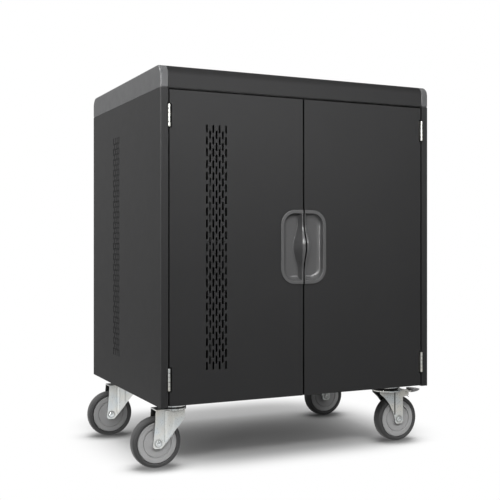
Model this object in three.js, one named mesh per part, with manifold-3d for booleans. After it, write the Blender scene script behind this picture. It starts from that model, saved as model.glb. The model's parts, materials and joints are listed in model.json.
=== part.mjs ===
// Laptop charging cart: a two-door sheet-steel cabinet on four swivel casters.
// Millimetres, +Z up, front towards -Y, +X to the right. The origin is on the floor below the cabinet's centre.
import * as THREE from 'three';
import { mergeGeometries, mergeVertices } from 'three/addons/utils/BufferGeometryUtils.js';
import Module from 'manifold-3d';

const wasm = await Module();
wasm.setup();

// Overall sizes
const WIDTH = 762;
const DEPTH = 586;
const BODY_HEIGHT = 751;
const COVER_HEIGHT = 55;
const CASTER_HEIGHT = 162;

// Sheet metal and clearances
const SHEET = 1.5;
const BEND_RADIUS = 3;
const SEAT_GAP = 0.3;
const RUN_GAP = 0.5;
const CUT_PAST = 1;

// Folded side panels
const STILE_WIDTH = 20;
const STILE_RETURN = 18;
const REAR_FLANGE = 25;
const REAR_RETURN = 16;

// Top cover and its end caps
const END_CAP_WIDTH = 20;
const COVER_WALL = 3;
const COVER_RADIUS = 24;
const GROOVE_HEIGHT = 4;
const GROOVE_DEPTH = 3;
const END_CAP_BEVEL = 2;

// Front doors
const DOOR_DEPTH = 18;
const DOOR_BOTTOM_GAP = 2;
const DOOR_TOP_GAP = 4;
const SPLIT_GAP = 3.2;
const DOOR_LIP = 15;

// Butt hinges
const HINGE_LENGTH = 53;
const HINGE_INSET = 65;
const HINGE_PROUD = 1.5;
const KNUCKLES = 5;
const KNUCKLE_GAP = 0.3;
const BARREL_RADIUS = 3.2;
const PIN_RADIUS = 1.5;
const PIN_GAP = 0.4;
const LEAF = 1;
const LEAF_GAP = 0.3;
const LEAF_REACH = 16;
const NOTCH_GAP = 2;

// Vent slots
const SLOT_WIDTH = 4.5;
const SLOT_LENGTH = 20;
const SLOT_PITCH_ACROSS = 8.3;
const SLOT_PITCH_UP = 28.4;
const SLOT_COLUMNS = 7;
const SLOT_ROWS = 21;
const DOOR_VENT_FROM_SIDE = 143;
const SIDE_VENT_FROM_FRONT = 355;

// Half-cup pulls
const PULL_WIDTH = 129;
const PULL_HEIGHT = 186;
const PULL_RADIUS = 39;
const PULL_RIM = 9;
const PULL_RIM_PROUD = 2;
const PULL_RIM_BEVEL = 0.8;
const PULL_SEAT = 6;
const CUP_DEPTH = 13;
const CUP_FLOOR = 2;
const CUP_SLOPE = 13;
const LIP_WIDTH = 3.5;
const LIP_SWELL = 7;
const LIP_RISE = 13.5;
const LIP_FLARE = 4;
const LIP_SPAN = 118;
const LIP_STATIONS = 11;
const LIP_ROUND = 3;

// Base, shelves and roof
const PAN_FLANGE = 24;
const BASE_FLANGE = 20;
const LOWER_DECK = 33;
const SHELF_FLANGE = 18;
const INSIDE_SETBACK = 20;
const ROOF_NOSE = 6;
const ROOF_FLANGE_SETBACK = 34;

// Laptop bay, power bay and divider racks
const LAPTOP_BAY = 420;
const PARTITION_FLANGE = 15;
const CABLE_SLOT_WIDTH = 640;
const CABLE_SLOT_HEIGHT = 36;
const CABLE_SLOT_RISE = 250;
const BAYS = 12;
const RACK_MARGIN = 3;
const RACK_BASE = 3;
const RACK_SETBACK = 20;
const DIVIDER = 3;
const RACK_BACK_CLEARANCE = 30;
const DIVIDER_HEIGHT = 210;
const DIVIDER_RADIUS = 90;

// Outlet strips, mains inlet and magnetic catches
const STRIP_LENGTH = 640;
const STRIP_HEIGHT = 46;
const STRIP_DEPTH = 36;
const STRIP_RISE = 170;
const OUTLET_SIZE = 34;
const OUTLET_PROUD = 2;
const INLET_WIDTH = 50;
const INLET_HEIGHT = 28;
const INLET_FLANGE = 2.5;
const INLET_BODY_WIDTH = 32;
const INLET_BODY_HEIGHT = 24;
const INLET_BODY_DEPTH = 24;
const INLET_WALL = 3;
const INLET_POCKET_DEPTH = 16;
const INLET_FROM_CENTRE = 200;
const CATCH_LENGTH = 46;
const CATCH_HEIGHT = 14;
const CATCH_FROM_SPLIT = 22;

// Rear rail, service door, pivots and cam lock
const RAIL_HEIGHT = 90;
const REAR_DOOR_GAP = 4;
const REAR_DOOR_DEPTH = 16;
const PIVOT_INSET = 8;
const PIVOT_RADIUS = 4;
const PIVOT_HEAD_RADIUS = 5.8;
const PIVOT_HEAD = 1.5;
const PIVOT_GAP = 0.4;
const PIVOT_TIP = 4;
const LOCK_FROM_EDGE = 30;
const LOCK_HEAD_RADIUS = 11;
const LOCK_HEAD = 3;
const LOCK_RADIUS = 8;
const CAM_LENGTH = 46;
const CAM_WIDTH = 16;
const CAM_THICK = 3;

// Casters
const CASTER_INSET_X = 68;
const CASTER_INSET_Y = 94;
const PLAIN_TRAIL = 47;
const BRAKED_TRAIL = 26;
const WHEEL_RADIUS = 62.5;
const WHEEL_WIDTH = 32;
const HUB_RADIUS = 50;
const HUB_WIDTH = 29;
const HUB_BOSS_RADIUS = 13;
const HUB_GROOVE_RADIUS = 36.5;
const HUB_GROOVE = 2;
const HUB_DISH = 2;
const SHOULDER = 7;
const AXLE_RADIUS = 5.5;
const AXLE_HEAD_RADIUS = 8.5;
const AXLE_HEAD = 5;
const PLATE_LENGTH = 104;
const PLATE_WIDTH = 84;
const PLATE_THICK = 4;
const PLATE_CORNER = 10;
const RACE_RADIUS = 23;
const CUP_RING_RADIUS = 30;
const CUP_RING_WALL = 4;
const CUP_RING_TOP = 9;
const CROWN_DROP = 18;
const BRAKED_CROWN_RADIUS = 41;
const FORK_SHEET = 3;
const FORK_INSIDE = 36;
const FORK_FOOT = 13;
const FORK_FOOT_CORNER = 5;
const PLAIN_FRONT = 22;
const PLAIN_THROAT = 21;
const PLAIN_LEAN = 8;
const BRAKED_FRONT = 34;
const BRAKED_LIP = 6;
const BRAKED_THROAT = 30;
const EAR_DEPTH = 19;
const BULGE_WIDTH = 26;
const BULGE_SLOPE = 6;
const BULGE_PROUD = 2.5;
const BULGE_FROM_AXLE = 29;
const LEG_GROOVE_WIDTH = 4;
const LEG_GROOVE_DEPTH = 1.8;
const LEG_GROOVE_FROM_AXLE = 14;
const LEG_GROOVE_END = 12;
const KINGPIN_RADIUS = 6;
const NUT_RADIUS = 10;
const NUT_THICK = 6;

// Brake pedals on the right-hand casters
const PEDAL_PIVOT_OUT = 50;
const PEDAL_PIVOT_DROP = 28;
const PEDAL_HUB_RADIUS = 5;
const PEDAL_STUB_RADIUS = 3;
const PEDAL_EAR = 8;
const PEDAL_REACH = 107;
const PEDAL_LEAF_LENGTH = 34;
const PEDAL_LEAF_WIDTH = 30;
const PEDAL_LEAF_THICK = 6;
const PEDAL_ARM_WIDTH = 24;
const PEDAL_ARM_THICK = 3;
const PEDAL_SHOE = 10;

// Facet counts
const WHEEL_SIDES = 16;
const ROUND_SIDES = 12;
const SMALL_SIDES = 8;
const KNUCKLE_SIDES = 6;
const CORNER_STEPS = 4;

// Places worked out from the sizes above
const LEFT = -WIDTH / 2;
const RIGHT = WIDTH / 2;
const FRONT = -DEPTH / 2;
const BACK = DEPTH / 2;
const BODY_BOTTOM = CASTER_HEIGHT;
const BODY_TOP = CASTER_HEIGHT + BODY_HEIGHT;
const BODY_MIDDLE = CASTER_HEIGHT + BODY_HEIGHT / 2;
const INSIDE_HALF = WIDTH / 2 - SHEET - SEAT_GAP;
const NESTED_HALF = INSIDE_HALF - SHEET - SEAT_GAP;
const HINGE_GAP = 2 * (LEAF_GAP + LEAF + SEAT_GAP);
const HINGE_FROM_SIDE = STILE_WIDTH + HINGE_GAP / 2;
const DOOR_WIDTH = WIDTH / 2 - STILE_WIDTH - HINGE_GAP - SPLIT_GAP / 2;
const DOOR_BOTTOM = BODY_BOTTOM + DOOR_BOTTOM_GAP;
const DOOR_HEIGHT = BODY_HEIGHT - DOOR_BOTTOM_GAP - DOOR_TOP_GAP;
const ROOF_TOP = BODY_TOP - SEAT_GAP;
const ROOF_UNDER = ROOF_TOP - SHEET;
const LOWER_DECK_TOP = BODY_BOTTOM + LOWER_DECK;
const PARTITION_FRONT = FRONT + INSIDE_SETBACK + LAPTOP_BAY;
const MID_DECK_TOP = (LOWER_DECK_TOP + ROOF_TOP - PAN_FLANGE + SHELF_FLANGE) / 2;
const RAIL_TOP = BODY_BOTTOM + RAIL_HEIGHT;
const REAR_OPENING = WIDTH - 2 * REAR_FLANGE;
const REAR_DOOR_BOTTOM = RAIL_TOP + REAR_DOOR_GAP;
const REAR_DOOR_HEIGHT = ROOF_UNDER - REAR_DOOR_GAP - REAR_DOOR_BOTTOM;
const REAR_DOOR_WIDTH = REAR_OPENING - 2 * REAR_DOOR_GAP;
const SLOT_THROUGH = SHEET + 2 * CUT_PAST;
const AXLE_DROP = CASTER_HEIGHT - SEAT_GAP - WHEEL_RADIUS;
const CROWN_UNDER = CROWN_DROP + FORK_SHEET;
const LEG_INSIDE = FORK_INSIDE / 2;
const LEG_OUTSIDE = LEG_INSIDE + FORK_SHEET;

// Finishes
function finish(color, roughness, metalness) {
  return new THREE.MeshStandardMaterial({ color, roughness, metalness });
}
const blackPaint = finish(0x2b2b2c, 0.55, 0.2);
const coverPlastic = finish(0x343436, 0.5, 0);
const capPlastic = finish(0x6e6f71, 0.55, 0);
const pullPlastic = finish(0x626365, 0.35, 0);
const zinc = finish(0xc3c6c4, 0.35, 0.9);
const brightSteel = finish(0xe4e4e2, 0.3, 0.9);
const tyreRubber = finish(0x4a4a4b, 0.8, 0);
const hubPlastic = finish(0x9a9a9a, 0.6, 0);
const pedalPlastic = finish(0x4c4d4f, 0.6, 0);
const rackPlastic = finish(0x3a3b3d, 0.6, 0);
const socketPlastic = finish(0x1d1d1e, 0.5, 0);

// A closed geometry as a solid for joining and cutting, turned to face outwards
function solid(geometry) {
  const bare = geometry.clone();
  bare.deleteAttribute('normal');
  bare.deleteAttribute('uv');
  const merged = mergeVertices(bare, 1e-4);
  const corners = merged.attributes.position;
  const points = [0, 1, 2].map(() => new THREE.Vector3());
  const kept = [];
  let volume = 0;
  for (let i = 0; i < merged.index.count; i += 3) {
    const tri = [0, 1, 2].map((k) => merged.index.getX(i + k));
    if (tri[0] === tri[1] || tri[1] === tri[2] || tri[2] === tri[0]) {
      continue;
    }
    tri.forEach((corner, k) => points[k].fromBufferAttribute(corners, corner));
    volume += points[0].dot(points[1].cross(points[2]));
    kept.push(tri);
  }
  const facing = volume < 0 ? kept.map((tri) => [tri[0], tri[2], tri[1]]) : kept;
  return new wasm.Manifold(new wasm.Mesh({
    numProp: 3,
    vertProperties: new Float32Array(corners.array),
    triVerts: new Uint32Array(facing.flat()),
  }));
}

function join(first, ...others) {
  return others.reduce((sum, other) => sum.add(other), first);
}

function cut(first, ...others) {
  return others.reduce((rest, other) => rest.subtract(other), first);
}

function meet(first, second) {
  return first.intersect(second);
}

function geometryOf(body) {
  const mesh = body.getMesh();
  const geometry = new THREE.BufferGeometry();
  geometry.setAttribute('position', new THREE.BufferAttribute(mesh.vertProperties, 3));
  geometry.setIndex(new THREE.BufferAttribute(mesh.triVerts, 1));
  return geometry;
}

// The mirror image of a solid across the plane x = 0
function mirrored(body) {
  return solid(geometryOf(body).applyMatrix4(new THREE.Matrix4().makeScale(-1, 1, 1)));
}

function block(x0, x1, y0, y1, z0, z1) {
  const geometry = new THREE.BoxGeometry(x1 - x0, y1 - y0, z1 - z0);
  return solid(geometry.translate((x0 + x1) / 2, (y0 + y1) / 2, (z0 + z1) / 2));
}

function extrusion(shape, depth, steps = CORNER_STEPS) {
  return new THREE.ExtrudeGeometry(shape, { depth, bevelEnabled: false, curveSegments: steps });
}

// A shape in XY pulled up from z0 to z1
function extrudeUp(shape, z0, z1, steps) {
  return solid(extrusion(shape, z1 - z0, steps).translate(0, 0, z0));
}

// A shape in XZ pulled back from y0 to y1
function extrudeBack(shape, y0, y1, steps) {
  return solid(extrusion(shape, y1 - y0, steps).rotateX(Math.PI / 2).translate(0, y1, 0));
}

// A shape in YZ pulled along X from x0 to x1
function extrudeAcross(shape, x0, x1, steps) {
  const turn = new THREE.Matrix4().makeBasis(
    new THREE.Vector3(0, 1, 0),
    new THREE.Vector3(0, 0, 1),
    new THREE.Vector3(1, 0, 0),
  );
  return solid(extrusion(shape, x1 - x0, steps).applyMatrix4(turn).translate(x0, 0, 0));
}

// An upright round bar, with its flats at the given radius
function upright(radius, z0, z1, sides = ROUND_SIDES) {
  const corner = radius / Math.cos(Math.PI / sides);
  const bar = new THREE.CylinderGeometry(corner, corner, z1 - z0, sides);
  return solid(bar.rotateX(Math.PI / 2).translate(0, 0, (z0 + z1) / 2));
}

// A round bar along Y
function crosswise(radius, y0, y1, sides = ROUND_SIDES) {
  const corner = radius / Math.cos(Math.PI / sides);
  return solid(new THREE.CylinderGeometry(corner, corner, y1 - y0, sides).translate(0, (y0 + y1) / 2, 0));
}

// A ring turned about the Y axis from [radius, y] points, with a flat facet facing straight down
function turned(profile, sides = WHEEL_SIDES) {
  const stretch = 1 / Math.cos(Math.PI / sides);
  const points = [...profile, profile[0]].map(([r, y]) => new THREE.Vector2(r * stretch, y));
  return solid(new THREE.LatheGeometry(points, sides, Math.PI / sides));
}

function polygon(points) {
  return new THREE.Shape(points.map(([x, y]) => new THREE.Vector2(x, y)));
}

function roundedRectangle(width, height, radius) {
  const x = width / 2;
  const y = height / 2;
  const shape = new THREE.Shape();
  shape.moveTo(-x + radius, -y);
  shape.lineTo(x - radius, -y);
  shape.absarc(x - radius, -y + radius, radius, -Math.PI / 2, 0);
  shape.lineTo(x, y - radius);
  shape.absarc(x - radius, y - radius, radius, 0, Math.PI / 2);
  shape.lineTo(-x + radius, y);
  shape.absarc(-x + radius, y - radius, radius, Math.PI / 2, Math.PI);
  shape.lineTo(-x, -y + radius);
  shape.absarc(-x + radius, -y + radius, radius, Math.PI, 1.5 * Math.PI);
  return shape;
}

// A shape's corner points, without repeats where a line meets an arc
function cornerPoints(shape) {
  const points = shape.getPoints(CORNER_STEPS);
  return points.filter((p, i) => p.distanceTo(points[(i + 1) % points.length]) > 1e-6);
}

// Triangles that fill a flat ring, turned the ring's own way round
function ringTriangles(ring) {
  const size = new THREE.Box3().setFromPoints(ring).getSize(new THREE.Vector3());
  const axes = ['x', 'y', 'z'].sort((a, b) => size[b] - size[a]).slice(0, 2);
  const flat = ring.map((p) => new THREE.Vector2(p[axes[0]], p[axes[1]]));
  const way = Math.sign(THREE.ShapeUtils.area(flat));
  return THREE.ShapeUtils.triangulateShape(flat, []).map(([a, b, c]) => {
    const same = Math.sign(THREE.ShapeUtils.area([flat[a], flat[b], flat[c]])) === way;
    return same ? [a, b, c] : [a, c, b];
  });
}

// A solid skinned over rings of equally many points, with flat ends
function loft(rings) {
  const count = rings[0].length;
  const positions = rings.flat().flatMap((p) => [p.x, p.y, p.z]);
  const triangles = ringTriangles(rings[0]).map(([a, b, c]) => [a, c, b]);
  for (let ring = 0; ring + 1 < rings.length; ring += 1) {
    for (let i = 0; i < count; i += 1) {
      const a = ring * count + i;
      const b = ring * count + (i + 1) % count;
      triangles.push([a, b, b + count], [a, b + count, a + count]);
    }
  }
  const last = (rings.length - 1) * count;
  triangles.push(...ringTriangles(rings.at(-1)).map((tri) => tri.map((i) => i + last)));
  const geometry = new THREE.BufferGeometry();
  geometry.setAttribute('position', new THREE.Float32BufferAttribute(positions, 3));
  geometry.setIndex(triangles.flat());
  return solid(geometry);
}

const cart = new THREE.Group();

function addPiece(parent, name, body, material) {
  const mesh = new THREE.Mesh(geometryOf(body), material);
  mesh.name = name;
  parent.add(mesh);
  return mesh;
}

function subgroup(parent, x, y, z) {
  const group = new THREE.Group();
  group.position.set(x, y, z);
  parent.add(group);
  return group;
}

// Centres of the staggered slots, across and up from the middle of the block
function slotCentres() {
  const centres = [];
  for (let column = 0; column < SLOT_COLUMNS; column += 1) {
    const rows = SLOT_ROWS - (column % 2);
    for (let row = 0; row < rows; row += 1) {
      const across = (column - (SLOT_COLUMNS - 1) / 2) * SLOT_PITCH_ACROSS;
      const up = (row - (rows - 1) / 2) * SLOT_PITCH_UP;
      centres.push([across, up]);
    }
  }
  return centres;
}

// One cutter for a whole block of vent slots through a sheet; size is one slot's box
function slotCutter(size, place) {
  const copies = slotCentres().map(([across, up]) => (
    new THREE.BoxGeometry(...size).translate(...place(across, up))
  ));
  return solid(mergeGeometries(copies));
}

// Heights of the hinge centres
const hingeHeights = {
  lower: BODY_BOTTOM + HINGE_INSET,
  upper: BODY_TOP - HINGE_INSET,
};
const hingeAxisY = FRONT - HINGE_PROUD;
const notchReach = BARREL_RADIUS + RUN_GAP;
const notchHalf = HINGE_LENGTH / 2 + NOTCH_GAP;

// A side panel on the left: one folded sheet with a front stile and a rear flange, both with a return
function sidePanel(vented) {
  const stileEnd = LEFT + STILE_WIDTH;
  const flangeEnd = LEFT + REAR_FLANGE;
  const outline = new THREE.Shape();
  outline.moveTo(stileEnd, FRONT + STILE_RETURN);
  outline.lineTo(stileEnd - SHEET, FRONT + STILE_RETURN);
  outline.lineTo(stileEnd - SHEET, FRONT + SHEET);
  outline.lineTo(LEFT + SHEET, FRONT + SHEET);
  outline.lineTo(LEFT + SHEET, BACK - SHEET);
  outline.lineTo(flangeEnd - SHEET, BACK - SHEET);
  outline.lineTo(flangeEnd - SHEET, BACK - REAR_RETURN);
  outline.lineTo(flangeEnd, BACK - REAR_RETURN);
  outline.lineTo(flangeEnd, BACK);
  outline.lineTo(LEFT + BEND_RADIUS, BACK);
  outline.absarc(LEFT + BEND_RADIUS, BACK - BEND_RADIUS, BEND_RADIUS, Math.PI / 2, Math.PI);
  outline.lineTo(LEFT, FRONT + BEND_RADIUS);
  outline.absarc(LEFT + BEND_RADIUS, FRONT + BEND_RADIUS, BEND_RADIUS, Math.PI, 1.5 * Math.PI);
  outline.lineTo(stileEnd, FRONT);
  const notches = Object.values(hingeHeights).map((height) => block(
    LEFT + HINGE_FROM_SIDE - notchReach, stileEnd + CUT_PAST,
    FRONT - CUT_PAST, hingeAxisY + notchReach,
    height - notchHalf, height + notchHalf,
  ));
  const plain = cut(extrudeUp(outline, BODY_BOTTOM, BODY_TOP - SEAT_GAP), ...notches);
  if (!vented) {
    return plain;
  }
  const vents = slotCutter([SLOT_THROUGH, SLOT_WIDTH, SLOT_LENGTH], (across, up) => [
    LEFT + SHEET / 2, FRONT + SIDE_VENT_FROM_FRONT + across, BODY_MIDDLE + up,
  ]);
  return cut(plain, vents);
}

// A sheet tray with its floor at z0 and flanges up (positive) or down (negative) on all four sides
function tray(x, y0, y1, z0, flange) {
  const low = Math.min(z0, z0 + SHEET + flange);
  const high = Math.max(z0 + SHEET, z0 + flange);
  const hollow = block(
    -x + SHEET, x - SHEET, y0 + SHEET, y1 - SHEET,
    flange > 0 ? z0 + SHEET : low - CUT_PAST,
    flange > 0 ? high + CUT_PAST : z0,
  );
  return cut(block(-x, x, y0, y1, low, high), hollow);
}

function addCabinetShell() {
  addPiece(cart, 'left_side_panel', sidePanel(true), blackPaint);
  addPiece(cart, 'right_side_panel', mirrored(sidePanel(false)), blackPaint);
  const insideFront = FRONT + INSIDE_SETBACK;
  const insideBack = BACK - INSIDE_SETBACK;
  addPiece(cart, 'base_pan', tray(INSIDE_HALF, insideFront, insideBack, BODY_BOTTOM, BASE_FLANGE), blackPaint);
  const shelfDrop = -(LOWER_DECK - SHEET - SEAT_GAP);
  const lowerShelf = tray(
    NESTED_HALF, insideFront + SHEET + SEAT_GAP, insideBack - SHEET - SEAT_GAP,
    LOWER_DECK_TOP - SHEET, shelfDrop,
  );
  addPiece(cart, 'lower_shelf', lowerShelf, blackPaint);
  const midShelf = tray(
    INSIDE_HALF, insideFront, PARTITION_FRONT - SEAT_GAP, MID_DECK_TOP - SHEET, -SHELF_FLANGE,
  );
  addPiece(cart, 'mid_shelf', midShelf, blackPaint);
  addPiece(cart, 'roof_pan', roofPan(insideBack), blackPaint);
}

// Roof pan: a flat sheet over the doors with a tray-like flange set back from the front
function roofPan(insideBack) {
  const sheet = block(-INSIDE_HALF, INSIDE_HALF, FRONT + ROOF_NOSE, BACK - ROOF_NOSE, ROOF_UNDER, ROOF_TOP);
  const skirt = tray(INSIDE_HALF, FRONT + ROOF_FLANGE_SETBACK, insideBack, ROOF_UNDER, -PAN_FLANGE);
  const corners = [-1, 1].flatMap((side) => {
    const x0 = side < 0 ? -INSIDE_HALF - CUT_PAST : INSIDE_HALF - STILE_WIDTH;
    const x1 = x0 + STILE_WIDTH + CUT_PAST;
    const frontCorner = block(x0, x1, FRONT, FRONT + STILE_RETURN + SEAT_GAP, ROOF_UNDER - CUT_PAST, BODY_TOP);
    const rearX0 = side < 0 ? -INSIDE_HALF - CUT_PAST : INSIDE_HALF - REAR_FLANGE;
    const rearX1 = rearX0 + REAR_FLANGE + CUT_PAST;
    const rearCorner = block(
      rearX0, rearX1, BACK - REAR_RETURN - SEAT_GAP, BACK, ROOF_UNDER - CUT_PAST, BODY_TOP,
    );
    return [frontCorner, rearCorner];
  });
  return cut(join(sheet, skirt), ...corners);
}

// Outline of the top cover in YZ, drawn in by a wall thickness
function coverOutline(inset) {
  const front = FRONT + inset;
  const back = BACK - inset;
  const top = BODY_TOP + COVER_HEIGHT - inset;
  const radius = COVER_RADIUS - inset;
  const grooveTop = BODY_TOP + GROOVE_HEIGHT + inset;
  const shape = new THREE.Shape();
  shape.moveTo(front + GROOVE_DEPTH, BODY_TOP - (inset > 0 ? CUT_PAST : 0));
  shape.lineTo(back - GROOVE_DEPTH, BODY_TOP - (inset > 0 ? CUT_PAST : 0));
  shape.lineTo(back - GROOVE_DEPTH, grooveTop);
  shape.lineTo(back, grooveTop);
  shape.lineTo(back, top - radius);
  shape.absarc(back - radius, top - radius, radius, 0, Math.PI / 2);
  shape.lineTo(front + radius, top);
  shape.absarc(front + radius, top - radius, radius, Math.PI / 2, Math.PI);
  shape.lineTo(front, grooveTop);
  shape.lineTo(front + GROOVE_DEPTH, grooveTop);
  return shape;
}

function addTopCover() {
  const end = RIGHT - END_CAP_WIDTH;
  const cover = cut(
    extrudeAcross(coverOutline(0), -end, end),
    extrudeAcross(coverOutline(COVER_WALL), -end - CUT_PAST, end + CUT_PAST),
  );
  addPiece(cart, 'top_cover', cover, coverPlastic);
  const capStart = end + SEAT_GAP;
  const edge = RIGHT - END_CAP_BEVEL;
  const rounded = loft([
    capRing(0, capStart),
    capRing(0, edge),
    capRing(END_CAP_BEVEL, RIGHT),
  ]);
  const pocket = extrudeAcross(coverOutline(COVER_WALL), capStart - CUT_PAST, RIGHT - COVER_WALL);
  const cap = cut(rounded, pocket);
  addPiece(cart, 'left_end_cap', mirrored(cap), capPlastic);
  addPiece(cart, 'right_end_cap', cap, capPlastic);
}

// The cover's outline at one place along X, for the end cap's rounded edge
function capRing(inset, x) {
  const middle = BODY_TOP + COVER_HEIGHT / 2;
  const shrinkY = (DEPTH - 2 * inset) / DEPTH;
  const shrinkZ = (COVER_HEIGHT - 2 * inset) / COVER_HEIGHT;
  return cornerPoints(coverOutline(0)).map((p) => new THREE.Vector3(
    x, p.x * shrinkY, middle + (p.y - middle) * shrinkZ,
  ));
}

// Half outline of the pull in XZ, from the meeting edge outwards, drawn in by an inset
function pullOutline(inset, edge) {
  const reach = PULL_WIDTH / 2 - SPLIT_GAP / 2 - inset;
  const half = PULL_HEIGHT / 2 - inset;
  const radius = PULL_RADIUS - inset;
  const shape = new THREE.Shape();
  shape.moveTo(edge, -half);
  shape.lineTo(reach - radius, -half);
  shape.absarc(reach - radius, -half + radius, radius, -Math.PI / 2, 0);
  shape.lineTo(reach, half - radius);
  shape.absarc(reach - radius, half - radius, radius, 0, Math.PI / 2);
  shape.lineTo(edge, half);
  return shape;
}

function pullRing(inset, edge, y) {
  return cornerPoints(pullOutline(inset, edge)).map((p) => new THREE.Vector3(p.x, y, p.y));
}

// The grip lip: a blade on the meeting edge that swells and arches outwards at mid-height
function gripLip() {
  const end = PULL_HEIGHT / 2 - PULL_RIM;
  const rings = [];
  for (let i = 0; i < LIP_STATIONS; i += 1) {
    const height = -end + (2 * end * i) / (LIP_STATIONS - 1);
    const along = Math.min(1, Math.abs(height) / (LIP_SPAN / 2));
    const swell = 0.5 * (1 + Math.cos(Math.PI * along));
    const width = LIP_WIDTH + LIP_SWELL * swell;
    const front = -PULL_RIM_PROUD - LIP_RISE * swell;
    const foot = width + LIP_FLARE * (1 + swell);
    const floor = CUP_DEPTH + CUP_FLOOR / 2;
    rings.push([
      [0, floor], [0, front], [width / 2, front],
      [width, front + LIP_ROUND * (swell + PULL_RIM_BEVEL / LIP_ROUND)], [foot, floor],
    ].map(([x, y]) => new THREE.Vector3(x, y, height)));
  }
  return loft(rings);
}

// A half-cup pull, with x away from the meeting edge and y = 0 on the door's face
function halfPull() {
  const flange = loft([
    pullRing(0, 0, -SEAT_GAP),
    pullRing(0, 0, -PULL_RIM_PROUD + PULL_RIM_BEVEL),
    pullRing(PULL_RIM_BEVEL, 0, -PULL_RIM_PROUD),
  ]);
  const cup = extrudeBack(pullOutline(PULL_SEAT, 0), -PULL_RIM_PROUD / 2, CUP_DEPTH + CUP_FLOOR);
  const hollow = loft([
    pullRing(PULL_RIM, LIP_WIDTH, -PULL_RIM_PROUD - CUT_PAST),
    pullRing(PULL_RIM, LIP_WIDTH, 0),
    pullRing(PULL_RIM + CUP_SLOPE, LIP_WIDTH, CUP_DEPTH),
  ]);
  return join(cut(join(flange, cup), hollow), gripLip());
}

// A front door: a sheet pan with returns, hung from its hinge axis at x = 0, y = 0
function doorPan(vented) {
  const start = HINGE_GAP / 2;
  const end = start + DOOR_WIDTH;
  const face = HINGE_PROUD;
  const pan = cut(
    block(start, end, face, face + DOOR_DEPTH, 0, DOOR_HEIGHT),
    block(start + SHEET, end - SHEET, face + SHEET, face + DOOR_DEPTH - SHEET, SHEET, DOOR_HEIGHT - SHEET),
    block(
      start + SHEET, end - SHEET, face + DOOR_DEPTH - SHEET - CUT_PAST, face + DOOR_DEPTH + CUT_PAST,
      SHEET, DOOR_HEIGHT - DOOR_LIP,
    ),
  );
  const notches = Object.values(hingeHeights).map((height) => block(
    start - CUT_PAST, notchReach, face - CUT_PAST, notchReach,
    height - notchHalf - DOOR_BOTTOM, height + notchHalf - DOOR_BOTTOM,
  ));
  const pullHole = mirrored(extrudeBack(
    pullOutline(PULL_SEAT - RUN_GAP, -CUT_PAST), face - CUT_PAST, face + DOOR_DEPTH + CUT_PAST,
  )).translate([end, 0, BODY_MIDDLE - DOOR_BOTTOM]);
  const plain = cut(pan, pullHole, ...notches);
  if (!vented) {
    return plain;
  }
  const middle = DOOR_VENT_FROM_SIDE - HINGE_FROM_SIDE;
  const vents = slotCutter([SLOT_WIDTH, SLOT_THROUGH, SLOT_LENGTH], (across, up) => [
    middle + across, face + SHEET / 2, BODY_MIDDLE - DOOR_BOTTOM + up,
  ]);
  return cut(plain, vents);
}

// One hinge leaf with its knuckles, standing on the +x side of the axis
function hingeLeaf(firstKnuckle) {
  const pitch = HINGE_LENGTH / KNUCKLES;
  const half = HINGE_LENGTH / 2;
  const inner = LEAF_GAP;
  let leaf = block(inner, inner + LEAF, notchReach, LEAF_REACH, -half, half);
  for (let k = firstKnuckle; k < KNUCKLES; k += 2) {
    const z0 = -half + k * pitch + KNUCKLE_GAP / 2;
    const z1 = z0 + pitch - KNUCKLE_GAP;
    const web = block(inner, inner + LEAF, 0, notchReach + LEAF, z0, z1);
    leaf = join(leaf, cut(
      join(upright(BARREL_RADIUS, z0, z1, KNUCKLE_SIDES), web),
      upright(PIN_RADIUS + PIN_GAP, z0 - CUT_PAST, z1 + CUT_PAST, KNUCKLE_SIDES),
    ));
  }
  return leaf;
}

function addFrontDoors() {
  const frameLeaf = hingeLeaf(0);
  const doorLeaf = hingeLeaf(1);
  const pin = upright(PIN_RADIUS, -HINGE_LENGTH / 2, HINGE_LENGTH / 2, KNUCKLE_SIDES);
  for (const side of ['left', 'right']) {
    const isLeft = side === 'left';
    const hand = (body) => (isLeft ? body : mirrored(body));
    const axisX = (isLeft ? 1 : -1) * (LEFT + HINGE_FROM_SIDE);
    const group = subgroup(cart, axisX, hingeAxisY, 0);
    const door = subgroup(group, 0, 0, DOOR_BOTTOM);
    addPiece(door, `${side}_door`, hand(doorPan(isLeft)), blackPaint);
    const freeEdge = (isLeft ? 1 : -1) * (HINGE_GAP / 2 + DOOR_WIDTH);
    const pullPlace = subgroup(group, freeEdge, HINGE_PROUD, BODY_MIDDLE);
    addPiece(pullPlace, `${side}_pull`, isLeft ? mirrored(halfPull()) : halfPull(), pullPlastic);
    for (const [level, height] of Object.entries(hingeHeights)) {
      const hinge = subgroup(group, 0, 0, height);
      addPiece(hinge, `${side}_${level}_hinge_frame_leaf`, isLeft ? mirrored(frameLeaf) : frameLeaf, brightSteel);
      addPiece(hinge, `${side}_${level}_hinge_door_leaf`, hand(doorLeaf), brightSteel);
      addPiece(hinge, `${side}_${level}_hinge_pin`, pin, brightSteel);
    }
  }
}

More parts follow.
